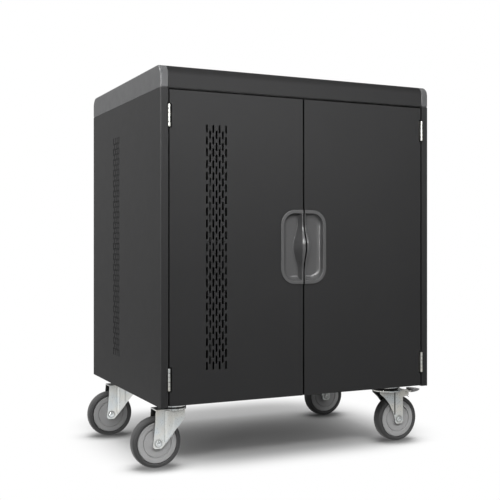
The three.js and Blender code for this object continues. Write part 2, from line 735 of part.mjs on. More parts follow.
// Partition between the laptop bay and the power bay, with a cable slot behind each tier
function partition() {
  const half = NESTED_HALF;
  const bottom = LOWER_DECK_TOP + SEAT_GAP;
  const top = ROOF_UNDER - SEAT_GAP;
  const outline = polygon([
    [-half, PARTITION_FRONT], [half, PARTITION_FRONT],
    [half, PARTITION_FRONT + PARTITION_FLANGE], [half - SHEET, PARTITION_FRONT + PARTITION_FLANGE],
    [half - SHEET, PARTITION_FRONT + SHEET], [-half + SHEET, PARTITION_FRONT + SHEET],
    [-half + SHEET, PARTITION_FRONT + PARTITION_FLANGE], [-half, PARTITION_FRONT + PARTITION_FLANGE],
  ]);
  const slot = roundedRectangle(CABLE_SLOT_WIDTH, CABLE_SLOT_HEIGHT, CABLE_SLOT_HEIGHT / 2);
  const slots = [LOWER_DECK_TOP, MID_DECK_TOP].map((deck) => extrudeBack(
    slot, PARTITION_FRONT - CUT_PAST, PARTITION_FRONT + SHEET + CUT_PAST, 2,
  ).translate([0, 0, deck + CABLE_SLOT_RISE]));
  return cut(extrudeUp(outline, bottom, top), ...slots);
}

// A divider rack: a base sheet with upright round-nosed dividers
function rack(deck) {
  const half = WIDTH / 2 - STILE_WIDTH - RACK_MARGIN;
  const front = FRONT + INSIDE_SETBACK + RACK_SETBACK;
  const back = PARTITION_FRONT - RACK_BACK_CLEARANCE;
  const floor = deck + SEAT_GAP;
  const top = floor + RACK_BASE + DIVIDER_HEIGHT;
  const outline = new THREE.Shape();
  outline.moveTo(front, floor);
  outline.lineTo(back, floor);
  outline.lineTo(back, top);
  outline.lineTo(front + DIVIDER_RADIUS, top);
  outline.absarc(front + DIVIDER_RADIUS, top - DIVIDER_RADIUS, DIVIDER_RADIUS, Math.PI / 2, Math.PI);
  const pitch = (2 * half - DIVIDER) / BAYS;
  const dividers = [];
  for (let i = 0; i <= BAYS; i += 1) {
    const x = -half + i * pitch;
    dividers.push(extrudeAcross(outline, x, x + DIVIDER));
  }
  return join(block(-half, half, front, back, floor, floor + RACK_BASE), ...dividers);
}

// An outlet strip on the back of the partition, with one raised outlet for each bay
function outletStrip(deck) {
  const front = PARTITION_FRONT + SHEET + SEAT_GAP;
  const face = front + STRIP_DEPTH;
  const middle = deck + STRIP_RISE;
  const body = block(
    -STRIP_LENGTH / 2, STRIP_LENGTH / 2, front, face, middle - STRIP_HEIGHT / 2, middle + STRIP_HEIGHT / 2,
  );
  const pitch = STRIP_LENGTH / BAYS;
  const outlets = [];
  for (let i = 0; i < BAYS; i += 1) {
    const x = (i - (BAYS - 1) / 2) * pitch;
    outlets.push(block(
      x - OUTLET_SIZE / 2, x + OUTLET_SIZE / 2, face - CUT_PAST, face + OUTLET_PROUD,
      middle - OUTLET_SIZE / 2, middle + OUTLET_SIZE / 2,
    ));
  }
  return join(body, ...outlets);
}

function addInside() {
  addPiece(cart, 'partition', partition(), blackPaint);
  addPiece(cart, 'lower_rack', rack(LOWER_DECK_TOP), rackPlastic);
  addPiece(cart, 'upper_rack', rack(MID_DECK_TOP), rackPlastic);
  addPiece(cart, 'lower_outlet_strip', outletStrip(LOWER_DECK_TOP), socketPlastic);
  addPiece(cart, 'upper_outlet_strip', outletStrip(MID_DECK_TOP), socketPlastic);
  const catchTop = BODY_TOP - DOOR_TOP_GAP - SHEET;
  const catchBody = block(
    CATCH_FROM_SPLIT, CATCH_FROM_SPLIT + CATCH_LENGTH,
    FRONT + DOOR_DEPTH + RUN_GAP, FRONT + ROOF_FLANGE_SETBACK - SEAT_GAP,
    catchTop - CATCH_HEIGHT, catchTop,
  );
  addPiece(cart, 'left_catch', mirrored(catchBody), socketPlastic);
  addPiece(cart, 'right_catch', catchBody, socketPlastic);
}

// A pan whose sheet faces backwards, with returns towards the front
function rearPan(x0, x1, z0, z1, depth) {
  return cut(
    block(x0, x1, BACK - depth, BACK, z0, z1),
    block(x0 + SHEET, x1 - SHEET, BACK - depth - CUT_PAST, BACK - SHEET, z0 + SHEET, z1 - SHEET),
  );
}

const pivotX = REAR_OPENING / 2 - REAR_DOOR_GAP - PIVOT_INSET;
const pivotY = BACK - PIVOT_INSET;

function pivotHole(z0, z1) {
  return upright(PIVOT_RADIUS + PIVOT_GAP, z0 - CUT_PAST, z1 + CUT_PAST).translate([pivotX, pivotY, 0]);
}

function rearRail() {
  const half = REAR_OPENING / 2 - SEAT_GAP;
  const pan = rearPan(-half, half, BODY_BOTTOM, RAIL_TOP, REAR_RETURN);
  const middle = (BODY_BOTTOM + RAIL_TOP) / 2;
  const inletHole = block(
    INLET_FROM_CENTRE - INLET_BODY_WIDTH / 2 - RUN_GAP, INLET_FROM_CENTRE + INLET_BODY_WIDTH / 2 + RUN_GAP,
    BACK - SHEET - CUT_PAST, BACK + CUT_PAST,
    middle - INLET_BODY_HEIGHT / 2 - RUN_GAP, middle + INLET_BODY_HEIGHT / 2 + RUN_GAP,
  );
  return cut(pan, inletHole, pivotHole(RAIL_TOP - SHEET, RAIL_TOP));
}

// Mains inlet: a flanged box with a socket that opens backwards
function mainsInlet() {
  const middle = (BODY_BOTTOM + RAIL_TOP) / 2;
  const around = (width, height, y0, y1) => block(
    INLET_FROM_CENTRE - width / 2, INLET_FROM_CENTRE + width / 2, y0, y1,
    middle - height / 2, middle + height / 2,
  );
  const seat = BACK + SEAT_GAP;
  const face = seat + INLET_FLANGE;
  const body = join(
    around(INLET_WIDTH, INLET_HEIGHT, seat, face),
    around(INLET_BODY_WIDTH, INLET_BODY_HEIGHT, face - INLET_BODY_DEPTH, face),
  );
  const pocketWidth = INLET_BODY_WIDTH - 2 * INLET_WALL;
  const pocketHeight = INLET_BODY_HEIGHT - 2 * INLET_WALL;
  return cut(body, around(pocketWidth, pocketHeight, face - INLET_POCKET_DEPTH, face + CUT_PAST));
}

function addRear() {
  addPiece(cart, 'rear_rail', rearRail(), blackPaint);
  addPiece(cart, 'mains_inlet', mainsInlet(), socketPlastic);
  const doorHalf = REAR_DOOR_WIDTH / 2;
  const doorTop = REAR_DOOR_BOTTOM + REAR_DOOR_HEIGHT;
  const lockX = -doorHalf + LOCK_FROM_EDGE;
  const lockZ = REAR_DOOR_BOTTOM + LOCK_FROM_EDGE;
  const lockHole = crosswise(LOCK_RADIUS + RUN_GAP, BACK - SHEET - CUT_PAST, BACK + CUT_PAST);
  const door = cut(
    rearPan(-doorHalf, doorHalf, REAR_DOOR_BOTTOM, doorTop, REAR_DOOR_DEPTH),
    pivotHole(REAR_DOOR_BOTTOM, REAR_DOOR_BOTTOM + SHEET),
    pivotHole(doorTop - SHEET, doorTop),
    lockHole.translate([lockX, 0, lockZ]),
  );
  addPiece(cart, 'rear_door', door, blackPaint);
  const lockPlace = subgroup(cart, lockX, BACK, lockZ);
  const camBack = -REAR_DOOR_DEPTH - RUN_GAP;
  const lock = join(
    crosswise(LOCK_HEAD_RADIUS, SEAT_GAP, SEAT_GAP + LOCK_HEAD),
    crosswise(LOCK_RADIUS, camBack - CAM_THICK, SEAT_GAP + LOCK_HEAD / 2),
    block(-CAM_WIDTH / 2, CAM_LENGTH, camBack - CAM_THICK, camBack, -CAM_WIDTH / 2, CAM_WIDTH / 2),
  );
  addPiece(lockPlace, 'rear_lock', lock, zinc);
  const pivotPlace = subgroup(cart, pivotX, pivotY, 0);
  const lowerHeadTop = RAIL_TOP - SHEET - SEAT_GAP;
  const lowerPivot = join(
    upright(PIVOT_HEAD_RADIUS, lowerHeadTop - PIVOT_HEAD, lowerHeadTop),
    upright(PIVOT_RADIUS, lowerHeadTop - PIVOT_HEAD / 2, REAR_DOOR_BOTTOM + SHEET + PIVOT_TIP),
  );
  addPiece(pivotPlace, 'rear_pivot_lower', lowerPivot, zinc);
  const upperHeadTop = ROOF_UNDER - SEAT_GAP;
  const upperPivot = join(
    upright(PIVOT_HEAD_RADIUS, upperHeadTop - PIVOT_HEAD, upperHeadTop),
    upright(PIVOT_RADIUS, doorTop - SHEET - PIVOT_TIP, upperHeadTop - PIVOT_HEAD / 2),
  );
  addPiece(pivotPlace, 'rear_pivot_upper', upperPivot, zinc);
}

// Caster top plate with its kingpin, upper race and nut; z = 0 on the plate's top
function casterPlate() {
  const plate = roundedRectangle(PLATE_LENGTH, PLATE_WIDTH, PLATE_CORNER);
  const nutTop = -CROWN_UNDER - SEAT_GAP;
  return join(
    extrudeUp(plate, -PLATE_THICK, 0, 2),
    upright(RACE_RADIUS, -CROWN_DROP + RUN_GAP, -PLATE_THICK / 2),
    upright(KINGPIN_RADIUS, nutTop - NUT_THICK, -PLATE_THICK / 2, SMALL_SIDES),
    upright(NUT_RADIUS, nutTop - NUT_THICK, nutTop, 6),
  );
}

// The foot round the axle, as outline points from its front to its back
function footPoints(trail) {
  const foot = -AXLE_DROP - FORK_FOOT;
  const front = trail - FORK_FOOT;
  const back = trail + FORK_FOOT;
  return [
    [front, foot + FORK_FOOT_CORNER], [front + FORK_FOOT_CORNER, foot],
    [back - FORK_FOOT_CORNER, foot], [back, foot + FORK_FOOT_CORNER],
  ];
}

// Plain fork's leg in XZ, with the wheel trailing towards +x: a straight raked front and a leaning back
function plainLeg() {
  const outline = polygon([
    [-PLAIN_FRONT, -CROWN_DROP], [-PLAIN_FRONT, -CROWN_UNDER - PLAIN_THROAT],
    ...footPoints(PLAIN_TRAIL),
    [PLAIN_TRAIL + FORK_FOOT - PLAIN_LEAN, -CROWN_DROP],
  ]);
  const middle = PLAIN_TRAIL - BULGE_FROM_AXLE;
  const half = BULGE_WIDTH / 2;
  const crest = LEG_OUTSIDE + BULGE_PROUD;
  const bulge = polygon([
    [middle - half, LEG_INSIDE], [middle + half, LEG_INSIDE], [middle + half, LEG_OUTSIDE],
    [middle + half - BULGE_SLOPE, crest], [middle - half + BULGE_SLOPE, crest], [middle - half, LEG_OUTSIDE],
  ]);
  return join(
    extrudeBack(outline, LEG_INSIDE, LEG_OUTSIDE),
    meet(extrudeUp(bulge, -AXLE_DROP, -CROWN_DROP), extrudeBack(outline, LEG_INSIDE, crest + CUT_PAST)),
  );
}

// Braked fork's leg in XZ: a swept front, a pressed groove, and an ear for the pedal at the top of its back
function brakedLeg() {
  const back = BRAKED_TRAIL + FORK_FOOT;
  const ear = PEDAL_PIVOT_OUT + PEDAL_EAR;
  const earTop = -PEDAL_PIVOT_DROP + PEDAL_EAR;
  const shape = new THREE.Shape();
  shape.moveTo(-BRAKED_FRONT, -CROWN_DROP);
  shape.lineTo(-BRAKED_FRONT, -CROWN_UNDER - BRAKED_LIP);
  shape.quadraticCurveTo(0, -CROWN_UNDER - BRAKED_THROAT, BRAKED_TRAIL - FORK_FOOT, -AXLE_DROP);
  footPoints(BRAKED_TRAIL).forEach(([x, z]) => shape.lineTo(x, z));
  shape.lineTo(back, -CROWN_UNDER - EAR_DEPTH);
  shape.lineTo(ear, -PEDAL_PIVOT_DROP - PEDAL_EAR);
  shape.lineTo(ear, earTop - PEDAL_EAR / 2);
  shape.lineTo(ear - PEDAL_EAR / 2, earTop);
  shape.lineTo(PEDAL_PIVOT_OUT - PEDAL_EAR, earTop);
  shape.lineTo(PEDAL_PIVOT_OUT - PEDAL_EAR, -CROWN_DROP);
  const groove = BRAKED_TRAIL - LEG_GROOVE_FROM_AXLE;
  const earHole = crosswise(PEDAL_STUB_RADIUS + SEAT_GAP, 0, PLATE_WIDTH, SMALL_SIDES);
  return cut(
    extrudeBack(shape, LEG_INSIDE, LEG_OUTSIDE),
    block(
      groove - LEG_GROOVE_WIDTH / 2, groove + LEG_GROOVE_WIDTH / 2,
      LEG_OUTSIDE - LEG_GROOVE_DEPTH, LEG_OUTSIDE + CUT_PAST, -AXLE_DROP + LEG_GROOVE_END, -CROWN_UNDER,
    ),
    earHole.translate([PEDAL_PIVOT_OUT, 0, -PEDAL_PIVOT_DROP]),
  );
}

// Caster fork: two pressed legs under a crown that carries the race cup
function casterFork(braked) {
  const trail = braked ? BRAKED_TRAIL : PLAIN_TRAIL;
  const leg = braked ? brakedLeg() : plainLeg();
  const otherLeg = solid(geometryOf(leg).applyMatrix4(new THREE.Matrix4().makeScale(1, -1, 1)));
  const crownFront = braked ? BRAKED_FRONT : PLAIN_FRONT;
  const crownBack = braked ? trail + FORK_FOOT : trail + FORK_FOOT - PLAIN_LEAN;
  const crown = block(-crownFront, crownBack, -LEG_OUTSIDE, LEG_OUTSIDE, -CROWN_UNDER, -CROWN_DROP);
  const disc = upright(braked ? BRAKED_CROWN_RADIUS : CUP_RING_RADIUS, -CROWN_UNDER, -CROWN_DROP);
  const cup = cut(
    upright(CUP_RING_RADIUS, -CROWN_UNDER, -CUP_RING_TOP),
    upright(CUP_RING_RADIUS - CUP_RING_WALL, -CROWN_DROP, -CUP_RING_TOP + CUT_PAST),
  );
  const pinHole = upright(KINGPIN_RADIUS + RUN_GAP, -CROWN_UNDER - CUT_PAST, 0, SMALL_SIDES);
  const axleHole = crosswise(AXLE_RADIUS + SEAT_GAP, -PLATE_WIDTH, PLATE_WIDTH, SMALL_SIDES)
    .translate([trail, 0, -AXLE_DROP]);
  return cut(join(leg, otherLeg, crown, disc, cup), pinHole, axleHole);
}

// Axle bolt with a head and a nut, along Y
function axleBolt() {
  const end = LEG_OUTSIDE + SEAT_GAP;
  return join(
    crosswise(AXLE_RADIUS, -end - AXLE_HEAD / 2, end + AXLE_HEAD / 2, SMALL_SIDES),
    crosswise(AXLE_HEAD_RADIUS, -end - AXLE_HEAD, -end, 6),
    crosswise(AXLE_HEAD_RADIUS, end, end + AXLE_HEAD, 6),
  );
}

function wheelHub() {
  const bore = AXLE_RADIUS + RUN_GAP;
  const rim = HUB_RADIUS - SEAT_GAP;
  const face = HUB_WIDTH / 2;
  const dish = face - HUB_DISH;
  const boss = LEG_INSIDE - RUN_GAP;
  return turned([
    [bore, -boss], [HUB_BOSS_RADIUS, -dish],
    [HUB_GROOVE_RADIUS - HUB_GROOVE, -dish], [HUB_GROOVE_RADIUS, -face], [rim, -face],
    [rim, face], [HUB_GROOVE_RADIUS, face], [HUB_GROOVE_RADIUS - HUB_GROOVE, dish],
    [HUB_BOSS_RADIUS, dish], [bore, boss],
  ]);
}

function wheelTyre() {
  const half = WHEEL_WIDTH / 2;
  const shoulder = WHEEL_RADIUS - SHOULDER;
  return turned([
    [HUB_RADIUS, -half + SHOULDER / 4], [shoulder, -half], [WHEEL_RADIUS - SHOULDER / 4, -half + SHOULDER / 2],
    [WHEEL_RADIUS, -half + SHOULDER], [WHEEL_RADIUS, half - SHOULDER],
    [WHEEL_RADIUS - SHOULDER / 4, half - SHOULDER / 2], [shoulder, half], [HUB_RADIUS, half - SHOULDER / 4],
  ]);
}

// Brake pedal: a hub between the fork's ears, a pressed arm with a shoe, and a leaf-shaped tread
function brakePedal() {
  const hubHalf = LEG_INSIDE - RUN_GAP;
  const reach = PEDAL_REACH - PEDAL_PIVOT_OUT;
  const leafStart = reach - PEDAL_LEAF_LENGTH;
  const half = PEDAL_LEAF_WIDTH / 2;
  const leaf = new THREE.Shape();
  leaf.moveTo(leafStart, -PEDAL_ARM_WIDTH / 2);
  leaf.quadraticCurveTo(leafStart + PEDAL_LEAF_LENGTH / 2, -half * 1.3, reach, -half / 4);
  leaf.lineTo(reach, half / 4);
  leaf.quadraticCurveTo(leafStart + PEDAL_LEAF_LENGTH / 2, half * 1.3, leafStart, PEDAL_ARM_WIDTH / 2);
  const armTop = PEDAL_HUB_RADIUS / 2;
  return join(
    crosswise(PEDAL_HUB_RADIUS, -hubHalf, hubHalf, SMALL_SIDES),
    crosswise(PEDAL_STUB_RADIUS, -LEG_OUTSIDE, LEG_OUTSIDE, SMALL_SIDES),
    block(0, leafStart + CUT_PAST, -PEDAL_ARM_WIDTH / 2, PEDAL_ARM_WIDTH / 2, armTop - PEDAL_ARM_THICK, armTop),
    block(0, PEDAL_SHOE, -PEDAL_ARM_WIDTH / 2, PEDAL_ARM_WIDTH / 2, -PEDAL_SHOE, armTop - PEDAL_ARM_THICK / 2),
    extrudeUp(leaf, armTop - PEDAL_LEAF_THICK / 2, armTop + PEDAL_LEAF_THICK / 2),
  );
}

// Four casters, trailing outwards, with brakes on the right-hand pair
function addCasters() {
  const plate = casterPlate();
  const axle = axleBolt();
  const hub = wheelHub();
  const tyre = wheelTyre();
  const pedal = brakePedal();
  for (const end of ['front', 'rear']) {
    for (const side of ['left', 'right']) {
      const isLeft = side === 'left';
      const hand = (body) => (isLeft ? mirrored(body) : body);
      const out = isLeft ? -1 : 1;
      const x = out * (WIDTH / 2 - CASTER_INSET_X);
      const y = (end === 'front' ? -1 : 1) * (DEPTH / 2 - CASTER_INSET_Y);
      const name = `${end}_${side}`;
      const caster = subgroup(cart, x, y, BODY_BOTTOM - SEAT_GAP);
      addPiece(caster, `${name}_caster_plate`, plate, zinc);
      addPiece(caster, `${name}_caster_fork`, hand(casterFork(!isLeft)), zinc);
      const wheel = subgroup(caster, out * (isLeft ? PLAIN_TRAIL : BRAKED_TRAIL), 0, -AXLE_DROP);
      addPiece(wheel, `${name}_axle`, axle, brightSteel);
      addPiece(wheel, `${name}_hub`, hub, hubPlastic);
      addPiece(wheel, `${name}_tyre`, tyre, tyreRubber);
      if (!isLeft) {
        const pivot = subgroup(caster, PEDAL_PIVOT_OUT, 0, -PEDAL_PIVOT_DROP);
        addPiece(pivot, `${name}_brake_pedal`, pedal, pedalPlastic);
      }
    }
  }
}

addCabinetShell();
addTopCover();
addFrontDoors();
addInside();
addRear();
addCasters();

export default cart;
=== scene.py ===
"""Laptop charging cart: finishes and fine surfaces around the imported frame. Metres, +Z up, front to -Y."""
import json
import math

import bmesh
import bpy
from mathutils import Matrix, Vector


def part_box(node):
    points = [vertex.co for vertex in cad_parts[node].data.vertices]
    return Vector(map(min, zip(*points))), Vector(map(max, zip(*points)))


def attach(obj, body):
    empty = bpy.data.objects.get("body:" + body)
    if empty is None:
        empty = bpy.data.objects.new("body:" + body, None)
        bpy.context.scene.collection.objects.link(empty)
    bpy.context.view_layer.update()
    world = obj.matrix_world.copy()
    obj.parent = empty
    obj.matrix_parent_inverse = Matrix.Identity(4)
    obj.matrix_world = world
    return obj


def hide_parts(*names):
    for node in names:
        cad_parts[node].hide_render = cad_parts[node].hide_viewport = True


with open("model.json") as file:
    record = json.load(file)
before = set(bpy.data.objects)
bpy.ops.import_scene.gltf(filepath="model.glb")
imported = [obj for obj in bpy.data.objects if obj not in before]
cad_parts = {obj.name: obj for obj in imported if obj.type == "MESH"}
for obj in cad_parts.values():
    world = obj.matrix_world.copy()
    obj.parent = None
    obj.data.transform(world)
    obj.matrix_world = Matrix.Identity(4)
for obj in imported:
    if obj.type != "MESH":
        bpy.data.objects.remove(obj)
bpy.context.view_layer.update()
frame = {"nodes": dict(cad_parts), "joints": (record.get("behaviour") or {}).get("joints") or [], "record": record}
MM = 0.001
NODES = frame["nodes"]
RECORD = frame["record"]
JOINTS = {j["name"]: j for j in frame["joints"]}
BODY_OF = {n: b for b, names in RECORD["behaviour"]["bodies"].items() for n in names}
SLOT_OF = {p["node"]: p["material_slot"] for p in RECORD["subparts"]}
UPRIGHT = (0, 0, 1)
CROSSWISE = (0, 1, 0)

# Photograph's camera
CAMERA_PLACE = (-1.0709, -2.2507, 0.5551)
CAMERA_YAW = -25.21
CAMERA_LENS = 63.70
CAMERA_SENSOR = 36.0
HORIZON_SHIFT = -0.0201

# Floor and world; a span gives where a level starts and ends, then its first and last value
FLOOR_SIZE = 60
FLOOR_GLOW = 0.03
FLOOR_BOUNCE = 0.06
# Painted shadow: the floor's colour darker towards the middle under the cart
FLOOR_PAINTED_SHADOW_TONE = (0.45, 1.6, 0.52, 0.8)
FLOOR_FADE = (1.1, 4.4, 0.0, 1.0)
FLOOR_SEEN_FADE = (0.5, 1.55, 0.0, 1.0)
FLOOR_REFLECTED = (-0.1, 0.5, 1.05, 0.1)
FLOOR_REFLECTED_AXIS = (1, 0.8, 0)
FLOOR_FAR_REFLECTED = (-0.1, 0.6, 0.62, 0.42)
# Painted contact shadow: the floor turns black to the camera where occlusion finds wheels near
CONTACT_REACH = 0.075
CONTACT_SAMPLES = 16
FLOOR_PAINTED_CONTACT_SHADOW = (0.58, 0.97, 0.69, 0.0)
SHADOW_HALF = (0.44, 0.38)
SHADOW_MIDDLE = (0.03, 0.12)
WORLD_FILL = (0.1, 0.9, 0.0, 1.5)
WORLD_BACK = (0.2, 1.0, 0.0, 0.7)
WORLD_BACK_AXIS = (0.45, 0.9, 0)
WORLD_REFLECTED = (-0.6, 0.7, 1.0, 0.18)

# Texture of the finishes
NOISE_SPAN = (0.3, 0.7)
# Painted shade: how the colour darkens in hollows, then on upward faces
HOLLOW_SHADE_SPAN = (0.35, 0.95)
HOLLOW_SHADE_SAMPLES = 8
TOP_SHADE_SPAN = (0.05, 0.6)
MOTTLE_SCALE = 9.0
CLOUD_SCALE = 38.0
GRAIN_DEPTH = 0.2 * MM
STAIN_SCALE = 26.0
WARM_STAIN = (1.03, 1.0, 0.92)
COOL_STAIN = (0.90, 0.96, 0.99)
FLAKE_SCALE = 240.0
SCRATCH_SCALE = 520.0
SCRATCH_BUMP = 0.12
SCRATCH_DEPTH = 0.15 * MM
PLATE_METALLIC = 0.85

# Painted shade in the hollows of a slot's finish: how near in millimetres, and the least level
PAINTED_SHADE_HOLLOWS = (
    ("pull_plastic", 11, 0.4), ("rack_plastic", 120, 0.04), ("zinc", 38, 0.06), ("zinc", 5, 0.2),
    ("black_paint", 9, 0.2), ("hinge_steel", 2.5, 0.1),
)

# Sheet and edges
SHEET = 1.5 * MM
EDGE_ROUND = 0.5 * MM
BEVEL_ANGLE = 40
BEVEL_SEGMENTS = 2
BEND_RADIUS = 3.0 * MM
BEND_STEPS = 8
TURN_SLOPE = 0.2
FACE_SLACK = 0.05 * MM
STILE_WIDTH = 20 * MM
STILE_RETURN = 18 * MM
STILE_STUB = 1.01 * SHEET
REAR_FLANGE = 25 * MM
REAR_RETURN = 16 * MM
DOOR_TOP_RETURN = 15 * MM

# Vent slots
SLOT_WIDTH = 4.5 * MM
SLOT_LENGTH = 20 * MM
SLOT_PITCH_ACROSS = 8.3 * MM
SLOT_PITCH_UP = 28.4 * MM
SLOT_COLUMNS = 7
SLOT_ROWS = 21
SLOT_END_STEPS = 6
DOOR_VENT_FROM_SIDE = 143 * MM
SIDE_VENT_FROM_FRONT = 355 * MM

# Front seam and hinges
SEAM_EASE = 0.4 * MM
NOTCH_REACH = 3.7 * MM
NOTCH_GAP = 2.0 * MM
KNUCKLES = 5
KNUCKLE_RADIUS = 3.2 * MM
KNUCKLE_BORE = 1.6 * MM
KNUCKLE_EDGE = 0.35 * MM
KNUCKLE_GAP = 0.45 * MM
LEAF_FROM_AXIS = (0.3 * MM, 1.3 * MM)
LEAF_SINK = 0.4 * MM
LEAF_END_GAP = 0.2 * MM
PIN_RADIUS = 1.5 * MM
PIN_DOME = 0.35

# Pulls
PULL_RADIUS = 39 * MM
PULL_RIM = 9 * MM
PULL_RIM_PROUD = 2 * MM
PULL_RIM_EDGE = 1.0 * MM
PULL_SEAT = 6 * MM
PULL_SEAT_GAP = 0.3 * MM
SEAT_STEPS = 10
CUP_DEPTH = 13.5 * MM
CUP_BACK = 15 * MM
CUP_FILLET = 14.3 * MM
LIP_WIDTH = 3.5 * MM
LIP_SWELL = 7 * MM
LIP_RISE = 13.5 * MM
LIP_CREST = 0.45
LIP_FALL = 0.9
LIP_FLARE = 4.5 * MM
LIP_FLARE_SWELL = 1.2
LIP_SPAN = 118 * MM
LIP_BLEND = 2.5 * MM
GRIP_REACH = 21 * MM
GRIP_SLOPE = 0.5
SEAM_SLACK = 0.02 * MM
END_POINTS = 26
END_CROWDING = 1.5
CORNER_STEPS = 16
SIDE_POINTS = 48

# Top cover and end caps
COVER_GROOVE = 1.6 * MM
COVER_GROOVE_DEEP = 3 * MM
COVER_ROUND = 24 * MM
COVER_STEPS = 12
CAP_ROUND = 3.5 * MM
CAP_STEPS = 6
CAP_SEAM = ((0, 1.0 * MM), (0.4 * MM, 0.4 * MM), (1.0 * MM, 0))

# Wheels
HUB_RADIUS = 50 * MM
TYRE_ROUND = 8 * MM
TYRE_CROWN = 0.6 * MM
TREAD_FLAT = 1.7
HUB_FACE = 14.5 * MM
HUB_DISH = 1.2 * MM
HUB_GROOVE = 36.5 * MM
HUB_GROOVE_DEEP = 2 * MM
BOSS_BORE = 6 * MM
BOSS_RADIUS = 12 * MM
BOSS_FACE = 17.4 * MM

# Swivel races, from the top of the plate downwards
CUP_RING_RADIUS = 31.0 * MM
CUP_RING_EDGE = 1.2 * MM
CROWN_RADIUS = 42.0 * MM
CROWN_LEVELS = (17.6 * MM, 21.4 * MM)
CROWN_EDGE = 1.4 * MM
RACE_EDGE = 0.8 * MM
RACE_WALL = 29.7 * MM
RACE_WALL_SPREAD = 0.8 * MM
WALL_SLOPE = 0.5
RACE_LEVELS = (8.8 * MM, 13.2 * MM, 17.4 * MM, 21.2 * MM)

# Forks; places are from the swivel's axis outwards, and from the top of the plate downwards
LEG_OUTSIDE = 21 * MM
RIB_BACK = 31 * MM
RIB_FRONT = 5 * MM
RIB_TOP = 21 * MM
RIB_LOW = 96 * MM
RIB_CREST = 0.35
RIB_PROUD = 3.8 * MM
RIB_ROUND = 0.7
RIB_ROOT = 1 * MM
RIB_STEPS = 14
RIB_LEVELS = 16
RAKE_TOP = (-22 * MM, 37 * MM)
RAKE_LOW = (35 * MM, 106 * MM)
RAKE_MARGIN = 1.5 * MM
FOLD_FROM_PIVOT = 12 * MM
FOLD_REACH = 2.9 * MM
FOLD_DEPTH = 2.2 * MM

# Axles and bolts
AXLE_HEAD = 5 * MM
AXLE_RADIUS = 5.5 * MM
AXLE_SHORT = 2 * MM
WASHER_BORE = 5.6 * MM
WASHER_RADIUS = 8.8 * MM
WASHER_THICK = 1.2 * MM
NUT_ACROSS = 13 * MM
NUT_HIGH = 2.4 * MM
NUT_CHAMFER = 0.25
NUT_TOP = 0.86
STUD_RADIUS = 3.6 * MM
STUD_LONG = 3 * MM
PLATE_BOLT_X = 40 * MM
PLATE_BOLT_Y = 31 * MM
PLATE_BOLT_DROP = 4.1 * MM
PLATE_BOLT_HIGH = 5 * MM

# Brake pedals
TREAD_LENGTH = 34.5 * MM
TREAD_THICK = 6 * MM
TREAD_ROOT = 1.9
TREAD_TIP = 0.5
TREAD_RIBS = 4
TREAD_RIB_START = 7 * MM
TREAD_RIB_PITCH = 5.5 * MM
TREAD_RIB_WIDE = 2.2 * MM
TREAD_RIB_SINK = 0.6 * MM
TREAD_RIB_PROUD = 0.9 * MM
TREAD_RIB_HALF = 12 * MM
TREAD_RIB_NARROWS = 2.2 * MM
SPRING_WIRE = 1.0 * MM
SPRING_INSIDE_LEG = 1.5 * MM
SPRING_PATH = ((-6, -8), (-2, -9.5), (3, -9), (6, -11), (9, -13))

# Outlets and inlet
OUTLETS = 12
SLIT_FROM_MIDDLE = 6.3 * MM
SLIT_HALF = 1.1 * MM
SLIT_HIGH = 8 * MM
SLIT_SINK = 0.5 * MM
SLIT_PROUD = 0.15 * MM
EARTH_RADIUS = 2.6 * MM
EARTH_DROP = 6.5 * MM
BLADE_SPOTS = ((-7 * MM, -1.5 * MM), (0, 2.5 * MM), (7 * MM, -1.5 * MM))
BLADE_HALF = Vector((1 * MM, 0, 2 * MM))
BLADE_FROM_MOUTH = (16.5 * MM, 5 * MM)

PLAIN_NODES = (
    "base_pan", "lower_shelf", "mid_shelf", "roof_pan", "partition", "rear_rail", "rear_door", "lower_rack",
    "upper_rack", "left_catch", "right_catch", "rear_lock", "rear_pivot_lower", "rear_pivot_upper",
)
INNER_NODES = ("lower_shelf", "mid_shelf", "partition")


def feed(source, socket):
    """Sets a socket to a plain value, or links another socket to it."""
    if isinstance(source, (float, tuple)):
        socket.default_value = source
    else:
        socket.id_data.links.new(source, socket)


def ramp(tree, source, span, easing="LINEAR"):
    """A number that follows a source over a span."""
    node = tree.nodes.new("ShaderNodeMapRange")
    node.interpolation_type = easing
    for name, value in zip(("From Min", "From Max", "To Min", "To Max"), span):
        node.inputs[name].default_value = value
    feed(source, node.inputs["Value"])
    return node.outputs["Result"]


def eased(tree, source, span):
    """A ramp with soft ends."""
    return ramp(tree, source, span, "SMOOTHSTEP")


def vector_math(tree, operation, *sources):
    """A vector node fed with vectors or sockets."""
    node = tree.nodes.new("ShaderNodeVectorMath")
    node.operation = operation
    for socket, source in zip(node.inputs, sources):
        feed(source, socket)
    return node


def mix_values(tree, factor, first, second):
    """A number that is the first value at factor 0 and the second at factor 1."""
    mix = tree.nodes.new("ShaderNodeMix")
    for name, value in (("Factor", factor), ("A", first), ("B", second)):
        feed(value, mix.inputs[name])
    return mix.outputs["Result"]


def make_material(name, color, roughness, metallic=0.0, specular=0.5):
    """A principled material with its plain values on its own sockets."""
    mat = bpy.data.materials.new(name)
    mat.use_nodes = True
    shader = mat.node_tree.nodes["Principled BSDF"]
    shader.inputs["Base Color"].default_value = (*color, 1)
    shader.inputs["Roughness"].default_value = roughness
    shader.inputs["Metallic"].default_value = metallic
    shader.inputs["Specular IOR Level"].default_value = specular
    return mat, mat.node_tree, shader


def texture(tree, kind, scale, detail=2.0):
    """A 3-D texture in the piece's own metres."""
    spot = tree.nodes.new("ShaderNodeTexCoord")
    tex = tree.nodes.new(kind)
    tex.inputs["Scale"].default_value = scale
    tex.inputs["Detail"].default_value = detail
    feed(spot.outputs["Object"], tex.inputs["Vector"])
    return tex


def vary(tree, source, middle, spread, socket):
    """Drives a number socket from a 0-1 texture, to both sides of a middle value."""
    feed(ramp(tree, source, (*NOISE_SPAN, middle - spread, middle + spread)), socket)


